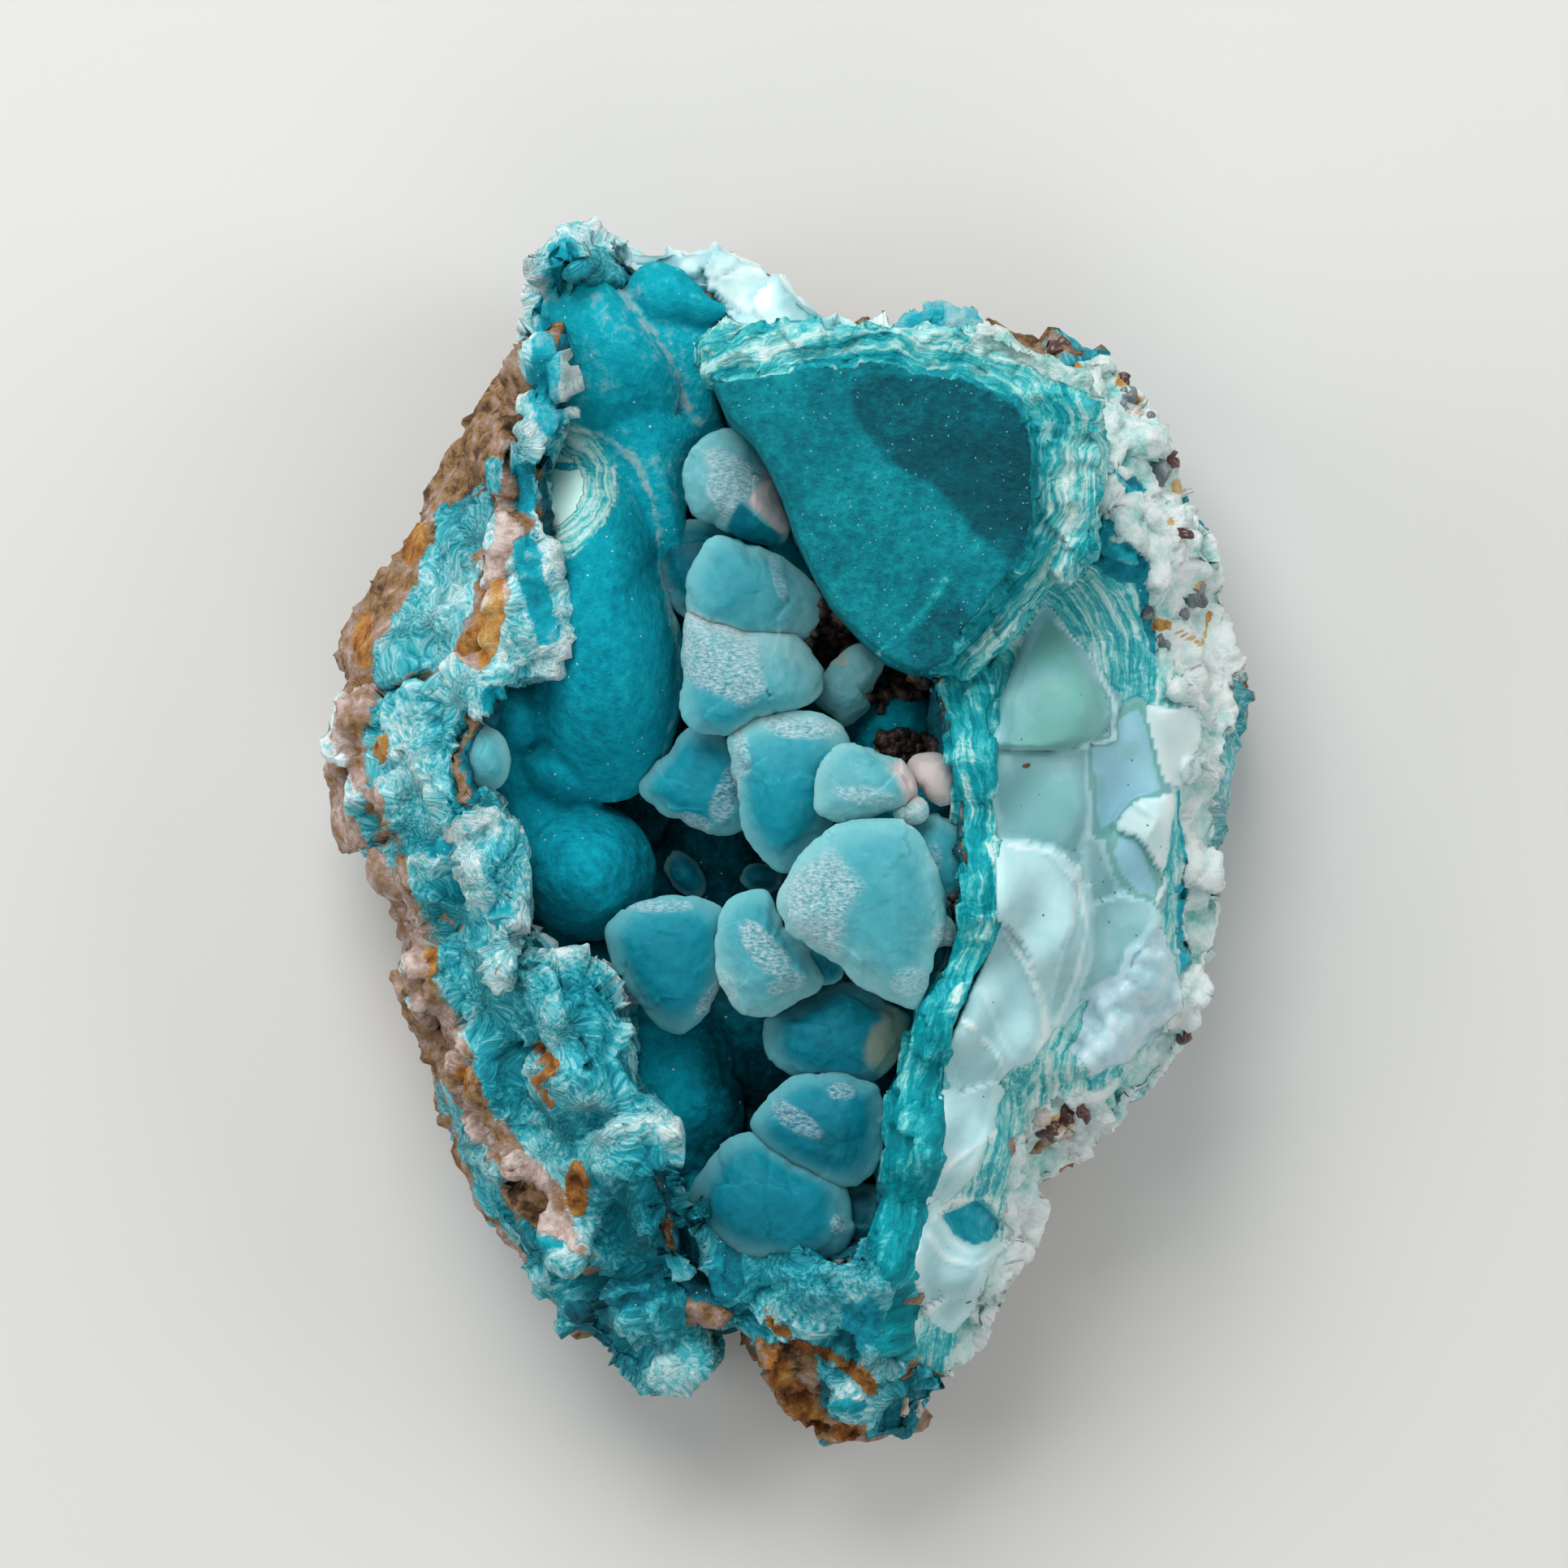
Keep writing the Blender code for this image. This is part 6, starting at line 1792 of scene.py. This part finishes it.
@dataclass
class Crystals:
    """The chain of pale blue curved crystals that grew in the hollow."""

    crystals: tuple[Dome, ...] = (
        Dome(
            ((-3.5, 26.1), (-2.3, 25.8), (-1.5, 25.0), (-1.0, 24.2), (-0.6, 22.9),
                 (-0.0, 21.4), (0.5, 19.7), (-0.0, 18.8), (-1.0, 18.6), (-2.3, 19.0), (-3.4, 19.6),
                 (-4.4, 20.2), (-5.9, 20.6), (-6.3, 22.1), (-6.4, 23.2), (-6.1, 24.4),
                 (-5.4, 25.2), (-4.5, 25.9)),
            20.6, 2.6, 5.5, (0.05, 0.02), 0.12, 0.22, (0.0, 0.0), 2.6,
        ),
        Dome(
            ((-7.9, 19.9), (-6.7, 20.5), (-4.9, 20.5), (-3.1, 19.9), (-2.5, 17.8),
                 (-3.3, 15.1), (-5.4, 13.8), (-6.9, 14.6), (-7.5, 15.7), (-8.1, 17.7)),
            17.6, 1.6, 5.0, (0.0, -0.05), 0.92, 0.92, (0.0, 0.0), 2.2,
        ),
        Dome(
            ((-4.8, 19.1), (-3.5, 19.3), (-2.3, 18.7), (-0.7, 18.1), (0.7, 17.3), (1.7, 16.4),
                 (2.5, 15.4), (2.5, 14.8), (2.2, 13.8), (1.5, 12.8), (0.6, 12.2), (-1.7, 12.0),
                 (-4.2, 12.8), (-6.2, 14.0), (-6.2, 15.7), (-5.9, 17.0), (-5.4, 18.0)),
            22.2, 2.2, 7.0, (0.0, 0.16), 0.36, 0.16, (-0.1, 0.0), 2.6,
        ),
        Dome(
            ((-6.3, 14.6), (-5.0, 14.0), (-2.3, 13.4), (1.0, 12.7), (1.7, 11.8), (2.3, 11.0),
                 (2.8, 10.0), (2.7, 9.2), (2.0, 8.5), (1.0, 8.1), (-0.3, 7.9), (-1.7, 7.5),
                 (-2.7, 6.8), (-3.7, 6.3), (-4.9, 6.4), (-5.9, 6.8), (-6.5, 7.6), (-6.5, 8.6),
                 (-6.4, 10.0), (-6.3, 12.5)),
            22.8, 2.2, 7.5, (0.02, -0.1), 0.36, 0.2, (-0.12, -0.24), 2.6,
        ),
        Dome(
            ((5.2, 12.4), (6.0, 12.0), (6.7, 11.3), (6.6, 10.7), (6.0, 9.7), (5.5, 9.0),
                 (5.7, 8.3), (5.0, 7.6), (4.0, 7.0), (3.2, 7.8), (2.2, 8.6), (2.3, 9.9),
                 (2.8, 10.7), (3.6, 11.5)),
            20.0, 1.4, 4.5, (-0.1, 0.1), 0.12, 0.1, (0.0, 0.0), 2.6,
        ),
        Dome(
            ((-6.2, 7.0), (-4.4, 6.7), (-3.0, 5.7), (-2.4, 4.0), (-2.1, 1.5), (-2.6, 0.3),
                 (-4.0, 0.0), (-5.1, 0.3), (-6.6, 1.0), (-8.4, 1.9), (-9.2, 2.5), (-9.3, 3.2),
                 (-8.6, 4.1), (-7.4, 5.4)),
            19.0, 1.8, 5.5, (0.18, 0.15), 0.68, 0.5, (0.0, 0.1), 2.6,
        ),
        Dome(
            ((-2.5, 7.3), (-1.7, 7.6), (-0.5, 7.8), (1.1, 8.0), (2.6, 7.9), (3.8, 7.1),
                 (4.3, 6.4), (4.0, 4.4), (3.5, 2.0), (2.7, -0.1), (1.9, -1.1), (1.1, -1.9),
                 (0.1, -2.5), (-1.0, -1.8), (-1.7, -1.0), (-2.4, -0.1), (-2.7, 0.9), (-2.8, 2.0),
                 (-3.0, 3.4), (-3.3, 4.9), (-3.6, 6.2)),
            22.8, 2.4, 8.0, (0.02, 0.06), 0.6, 0.16, (0.0, -0.1), 2.4,
        ),
        Dome(
            ((4.0, 5.8), (5.0, 5.7), (6.3, 5.3), (7.5, 4.8), (8.2, 3.8), (8.5, 2.8),
                 (8.2, 2.1), (6.6, 1.6), (5.1, 1.1), (4.1, 0.9), (2.9, 1.2), (2.3, 1.5),
                 (2.2, 2.8), (2.3, 4.1), (2.8, 5.1)),
            25.6, 2.0, 5.0, (0.04, 0.0), 0.24, 0.1, (0.08, 0.08), 2.6,
        ),
        Dome(
            ((7.8, 2.3), (9.1, 2.1), (9.3, 1.4), (8.4, 0.7), (7.1, 1.2)),
            25.6, 0.7, 2.5, (0.0, 0.0), 0.02, 0.0, (0.0, 0.0), 2.2,
        ),
        Dome(
            ((1.3, -1.3), (2.7, -0.1), (4.0, 0.8), (6.0, 1.0), (7.8, 0.9), (8.6, 0.4),
                 (9.3, -0.8), (10.0, -2.3), (10.3, -3.6), (10.4, -4.8), (9.8, -7.7), (9.3, -9.8),
                 (8.6, -11.3), (7.5, -10.7), (6.0, -10.1), (4.7, -9.5), (3.9, -8.4), (2.7, -7.7),
                 (1.3, -6.7), (0.0, -5.5), (-0.4, -4.8), (-0.3, -3.6), (0.5, -2.3)),
            26.2, 2.4, 8.5, (0.03, 0.08), 0.34, 0.12, (0.05, 0.06), 2.6,
        ),
        Dome(
            ((9.8, -5.0), (10.5, -5.2), (11.2, -6.3), (11.1, -7.4), (10.5, -7.0), (9.5, -7.4)),
            24.6, 0.6, 2.0, (0.0, 0.0), 0.16, 0.1, (0.0, 0.0), 2.0,
        ),
        Dome(
            ((8.6, 0.8), (10.0, 1.2), (11.3, 0.6), (11.6, -0.8), (11.6, -3.0), (11.1, -4.3),
                 (10.1, -4.8), (8.7, -2.7)),
            23.6, 1.4, 6.0, (0.0, 0.0), 0.42, 0.22, (0.0, 0.0), 2.4,
        ),
        Dome(
            ((-11.3, -6.0), (-10.6, -5.2), (-9.5, -4.3), (-8.4, -4.1), (-6.4, -4.0),
                 (-4.6, -4.3), (-3.8, -4.6), (-3.6, -6.4), (-3.8, -8.0), (-4.1, -9.8),
                 (-4.6, -10.9), (-5.3, -12.0), (-6.4, -12.9), (-7.1, -12.8), (-8.4, -12.0),
                 (-9.5, -10.7), (-10.6, -8.7), (-11.1, -7.2)),
            20.2, 2.2, 6.5, (0.03, 0.12), 0.8, 0.56, (-0.04, -0.06), 2.8,
        ),
        Dome(
            ((-3.1, -3.8), (-1.7, -3.4), (-0.9, -3.5), (-0.4, -4.8), (0.1, -5.9), (1.1, -7.0),
                 (2.3, -8.3), (2.9, -9.4), (2.5, -10.1), (1.3, -10.7), (0.0, -11.5), (-1.3, -11.8),
                 (-2.6, -11.5), (-3.5, -10.5), (-4.1, -9.4), (-4.3, -7.8), (-4.3, -6.3),
                 (-4.0, -4.8)),
            22.0, 2.2, 6.8, (0.0, 0.08), 0.32, 0.14, (0.0, 0.1), 2.4,
        ),
        Dome(
            ((0.6, -5.9), (2.4, -6.9), (3.9, -8.2), (4.3, -9.3), (2.9, -9.8), (1.4, -9.0)),
            20.6, 0.8, 3.5, (0.0, 0.0), 0.8, 0.7, (0.0, 0.0), 2.2,
        ),
        Dome(
            ((-1.1, -11.9), (0.5, -11.4), (2.2, -10.3), (4.0, -9.3), (5.5, -9.7), (6.8, -11.1),
                 (8.2, -11.7), (8.1, -13.2), (7.3, -14.9), (6.2, -15.9), (4.4, -16.1),
                 (2.7, -15.9), (0.9, -15.7), (-0.2, -15.1), (-1.0, -14.0), (-1.2, -12.9)),
            18.6, 2.2, 6.6, (0.0, 0.1), 0.84, 0.62, (-0.1, 0.0), 2.4,
        ),
        Dome(
            ((-2.1, -18.7), (-1.3, -17.4), (-0.2, -16.2), (0.7, -15.6), (2.7, -15.5),
                 (4.9, -15.8), (6.2, -16.2), (6.5, -17.1), (6.6, -18.7), (6.4, -20.7),
                 (5.8, -22.0), (4.7, -22.8), (3.5, -22.8), (1.6, -22.0), (0.0, -21.1),
                 (-1.3, -20.0)),
            19.2, 2.2, 7.0, (0.0, 0.12), 0.86, 0.6, (0.0, -0.04), 2.6,
        ),
        Dome(
            ((-6.3, -24.0), (-5.9, -22.9), (-5.1, -21.6), (-4.0, -20.2), (-2.9, -19.6),
                 (-2.0, -19.3), (-0.9, -20.1), (0.9, -21.1), (2.7, -21.9), (4.1, -22.8),
                 (4.5, -24.4), (4.6, -25.8), (4.0, -27.1), (1.9, -27.9), (-1.2, -27.4),
                 (-4.4, -26.3), (-6.0, -25.0)),
            18.4, 2.8, 7.0, (0.0, 0.16), 0.84, 0.66, (0.0, 0.0), 2.2,
        ),
        Dome(
            ((4.0, -23.1), (6.4, -23.1), (6.6, -24.0), (6.2, -26.0), (5.3, -26.6),
                 (4.3, -26.2)),
            16.6, 1.0, 4.0, (0.0, 0.0), 1.1, 1.0, (0.0, 0.0), 2.2,
        ),
        Dome(
            ((-7.8, -1.4), (-7.0, -1.0), (-6.2, -1.4), (-5.4, -2.5), (-5.0, -3.8),
                 (-5.4, -4.3), (-6.5, -4.0), (-7.4, -3.0)),
            12.6, 1.2, 2.5, (0.0, 0.0), 0.9, 0.8, (0.0, 0.0), 2.0,
        ),
        Dome(
            ((-2.7, -2.7), (-2.0, -2.0), (-1.0, -2.0), (-0.0, -2.7), (-0.3, -3.6),
                 (-1.5, -3.6), (-2.4, -3.3)),
            13.2, 1.0, 2.5, (0.0, 0.0), 0.95, 0.85, (0.0, 0.0), 2.0,
        ),
        Dome(
            ((-20.7, 6.7), (-19.6, 7.1), (-18.3, 6.5), (-17.7, 4.9), (-18.0, 3.3), (-18.9, 2.8),
             (-20.1, 3.9), (-20.9, 5.4)),
            22.2, 1.4, 4.5, (0.0, 0.0), 0.3, 0.1, (0.0, 0.0), 2.2,
        ),
        Dome(
            ((8.0, 4.8), (9.3, 5.3), (10.5, 5.2), (10.8, 3.9), (11.3, 2.8), (10.7, 2.0), (9.8, 2.3),
             (9.0, 3.2), (8.1, 3.9)),
            24.6, 1.2, 4.5, (0.05, 0.0), 0.1, 0.1, (0.0, 0.0), 2.6,
        ),
    )
    # Patches where tiny scales get a painted silky white sheen.
    silk_and_painted_sheen: tuple = (
        Zone(((-5.4, 24.9), (-4.0, 25.0), (-2.7, 24.3), (-1.0, 23.5), (-2.2, 21.7), (-3.0, 20.9),
              (-3.6, 19.9), (-4.2, 21.0), (-4.8, 22.0), (-4.7, 23.3)), blur=0.5, ragged=0.3),
        Zone(((-6.1, 14.5), (-1.8, 12.7), (-1.0, 9.3), (-2.4, 8.2), (-6.4, 10.3)), blur=0.8, ragged=0.4),
        Spot((-0.2, 16.4), (0.4, 1.5), 20.0, 0.6), Spot((-3.6, 2.6), (0.8, 2.0), -20.0, 0.8),
        Spot((-5.6, 0.9), (1.4, 0.5), -20.0, 0.7), Spot((1.0, 7.0), (2.4, 0.8), -6.0), Spot((-2.6, 5.4), (0.6, 1.8), 10.0, 0.8),
        Spot((5.3, 2.6), (2.2, 0.6), -6.0, 0.7), Zone(((-0.2, -3.0), (1.4, -1.7), (3.2, -0.9), (5.1, -3.2), (4.0, -5.3), (3.5, -8.0), (1.9, -7.2),
              (0.3, -5.3)), 1.0, 0.5), Spot((8.2, -9.4), (1.2, 1.0), 0.0, 0.7),
        Spot((-7.8, -4.6), (2.2, 0.4), 0.0, 0.7), Spot((-4.8, -10.6), (0.35, 1.6), -35.0, 0.9),
        Spot((-1.0, -7.4), (1.0, 2.4), 40.0), Spot((-3.6, -9.8), (0.5, 1.2), 30.0, 0.6), Spot((0.2, -9.6), (1.4, 0.7), 20.0, 0.8),
        Spot((1.0, -18.4), (2.0, 0.7), -35.0, 0.6), Spot((3.7, -16.6), (0.9, 0.6), 0.0, 0.7), Spot((3.6, -25.2), (0.5, 0.6)),
        Spot((8.4, 1.4), (1.0, 0.8)), Spot((10.4, -6.4), (0.7, 0.9)), Spot((9.8, -1.4), (0.5, 0.9), 10.0, 0.5),
    )
    pink: tuple = (
        Zone(((-1.0, 23.5), (0.0, 21.7), (0.7, 19.6), (-0.2, 19.5), (-2.2, 21.4)), blur=0.3, ragged=0.1),
        Spot((9.6, 3.8), (2.6, 2.4)),
    )
    blue: tuple = (
        Zone(((-2.7, 21.4), (-1.1, 19.9), (0.0, 19.5), (-0.4, 18.6), (-2.0, 18.6), (-3.3, 19.1),
              (-3.5, 20.0)), blur=0.3, ragged=0.15),
    )
    relief: Relief = Relief(((3.6, 0.06, 0.05), (1.2, 0.0, 0.03)), grain=0.6, depth=0.09, seed=92)
    cream: tuple = (
        Spot((6.9, -13.6), (1.5, 2.0), -30.0, 0.7), Spot((6.6, 10.0), (0.4, 1.4), -25.0, 0.8),
        Spot((7.0, -11.6), (0.7, 0.4), 0.0, 0.5), Spot((3.5, 11.5), (0.9, 0.5), -30.0, 0.5),
    )

    def build(self) -> None:
        """Build the crystals and dress them."""
        clay = Clay()
        points, reach, tone = add_domes(self.crystals, clay)
        crust = Sculpture("smithsonite_crust", clay)
        # Painted highlight: the silky sheen of tiny scales is painted white where this mask lies.
        silk_and_painted_sheen = largest_share(self.silk_and_painted_sheen, points)
        crust.push(0.20 * soft_noise(points, 3.4, 91, 2) + self.relief.push(points))
        blue = largest_share(self.blue, points)
        # Painted light: the outer rims of the crystals are marked to take a paler colour, for thin rims that catch the
        # light.
        rim = smooth_step(reach, 0.62, 0.99)
        crust.mark("edge", rim * (1.0 - blue))
        crust.mark("tone", np.maximum(tone + 0.10 * soft_noise(points, 2.6, 94, 2), 0.82 * blue))
        crust.mark("silk_and_painted_sheen", silk_and_painted_sheen * (1.0 - blue))
        crust.mark("pink", largest_share(self.pink, points))
        crust.mark("cream", largest_share(self.cream, points))
        crust.finish(FrostedSmithsonite().material(), Node.CRYSTALS, Slot.SMITHSONITE)


@dataclass(frozen=True)
class FrostedSmithsonite:
    """Clear pale blue smithsonite with a frosted skin.

    Light sinks in and spreads under the surface. The bodies run from blue to deep teal, their thin rims are painted
    pale as painted light, and patches of tiny scales have a painted silky white sheen. Reads tone, edge, cream and
    pink, and the mask of the painted silky sheen.
    """

    stops: tuple = ((0.0, "#8FC4C8"), (0.3, "#52ABB6"), (0.6, "#0E93A5"), (0.85, "#008094"), (1.0, "#005A68"))
    # Colour of the painted light on thin rims.
    rim: str = "#9AD6D8"
    cream: str = "#C6BC9E"
    pink: str = "#D6C6C4"
    # Colour of the painted silky sheen.
    silk_and_painted_sheen: str = "#E2F0F4"

    def material(self) -> bpy.types.Material:
        """Build the material.

        Returns:
            The material.
        """
        body = Mineral(self.stops, size=1.2, contrast=0.4, relief=0.14, rough=0.5, detail=8.0, speck="#2F5558",
                       spacing=1.3, dot=0.08, share=0.24)
        flakes = Mineral(((0.0, self.silk_and_painted_sheen), (1.0, self.silk_and_painted_sheen)), Pattern.SCALES, size=0.36, relief=0.3, rough=0.35)
        stack = Stack("Frosted smithsonite", body)
        # The edge mask lays the rim colour on as painted light on thin rims.
        for mask, colour, strength in (("edge", self.rim, 0.42), ("cream", self.cream, 1.0), ("pink", self.pink, 1.0)):
            share = add_node(stack.tree, "Attribute", attribute_name=mask).outputs["Fac"]
            part = add_node(stack.tree, "Math", {0: share, 1: strength}, operation="MULTIPLY").outputs[0]
            stack.colour = add_node(
                stack.tree, "Mix", {MIX_SHARE: part, MIX_FIRST: stack.colour, MIX_SECOND: linear(colour)},
                data_type="RGBA",
            ).outputs[MIX_RESULT]
        # Painted highlight: under the sheen mask, raised flakes take the white sheen colour.
        coat = flakes.lay(stack.tree, stack.coords)
        silk_and_painted_sheen = add_node(stack.tree, "Attribute", attribute_name="silk_and_painted_sheen").outputs["Fac"]
        raised = add_node(
            stack.tree, "MapRange", {"Value": flakes.run(stack.tree, stack.coords), "From Min": 0.38, "From Max": 0.70}
        )
        part = add_node(stack.tree, "Math", {0: silk_and_painted_sheen, 1: raised.outputs[0]}, operation="MULTIPLY").outputs[0]
        stack.colour = add_node(
            stack.tree, "Mix", {MIX_SHARE: part, MIX_FIRST: stack.colour, MIX_SECOND: coat.colour}, data_type="RGBA"
        ).outputs[MIX_RESULT]
        stack.height = add_node(stack.tree, "Mix", {0: silk_and_painted_sheen, 2: stack.height, 3: coat.height}).outputs[0]
        material = stack.done(glow=0.8, gloss=0.18)
        stack.shader.inputs["Subsurface Radius"].default_value = (0.9, 1.7, 1.8)
        stack.shader.inputs["IOR"].default_value = 1.5
        return material


@dataclass
class Studio:
    """A plain pale floor, soft lights and the camera that looks straight down on the specimen."""

    focus: Triple = (0.13, 3.28, 20.0)
    frame_width: float = 101.4
    lens: float = 180.0
    sensor: float = 36.0
    floor_side: float = 1500.0
    lights: tuple = (
        ("key_light", (-140.0, 430.0, 470.0), 380.0, 3.2),
        ("left_light", (-480.0, 60.0, 330.0), 300.0, 0.9),
        ("right_light", (470.0, 120.0, 360.0), 300.0, 0.9),
        ("front_light", (60.0, -420.0, 520.0), 400.0, 0.6),
    )
    sky: float = 0.31

    def build(self) -> None:
        """Build the floor, the lights and the camera."""
        self.add_floor()
        target = Vector(self.focus) * MILLIMETRE
        for name, place, side, power in self.lights:
            light = bpy.data.lights.new(name, "AREA")
            light.size, light.energy = side * MILLIMETRE, power
            lamp = bpy.data.objects.new(name, light)
            lamp.location = Vector(place) * MILLIMETRE
            lamp.rotation_euler = (target - lamp.location).to_track_quat("-Z", "Y").to_euler()
            bpy.context.scene.collection.objects.link(lamp)
        camera_data = bpy.data.cameras.new("camera")
        camera_data.lens, camera_data.sensor_width = self.lens, self.sensor
        camera = bpy.data.objects.new("camera", camera_data)
        away = self.frame_width * self.lens / self.sensor
        camera.location = target + Vector((0.0, 0.0, away * MILLIMETRE))
        bpy.context.scene.collection.objects.link(camera)
        bpy.context.scene.camera = camera
        world = bpy.data.worlds.new("soft studio")
        world.use_nodes = True
        world.node_tree.nodes["Background"].inputs["Color"].default_value = linear("#E8EEF0")
        world.node_tree.nodes["Background"].inputs["Strength"].default_value = self.sky
        bpy.context.scene.world = world
        bpy.context.scene.view_settings.view_transform = "Standard"

    def add_floor(self) -> None:
        """Add the plain pale floor."""
        form = bmesh.new()
        bmesh.ops.create_grid(form, x_segments=1, y_segments=1, size=self.floor_side * MILLIMETRE / 2.0)
        mesh = bpy.data.meshes.new("floor")
        form.to_mesh(mesh)
        form.free()
        floor = bpy.data.objects.new("floor", mesh)
        bpy.context.scene.collection.objects.link(floor)
        paper = bpy.data.materials.new("Pale paper")
        paper.use_nodes = True
        shader = paper.node_tree.nodes["Principled BSDF"]
        shader.inputs["Base Color"].default_value = linear("#D9D8D5")
        shader.inputs["Roughness"].default_value = 0.9
        mesh.materials.append(paper)


def main() -> None:
    """Build the specimen and its studio."""
    logging.basicConfig(level=logging.INFO, format="%(message)s")
    Studio().build()
    for part in (
        HostRock(), SilkyRim(), UpperEdge(), Foot(), VelvetLobes(), VelvetBlock(), BandedRibbon(), MintZone(),
        QuartzGrains(), Goethite(), Crystals(),
    ):
        log.info("building %s", type(part).__name__)
        part.build()


if __name__ == "__main__":
    main()
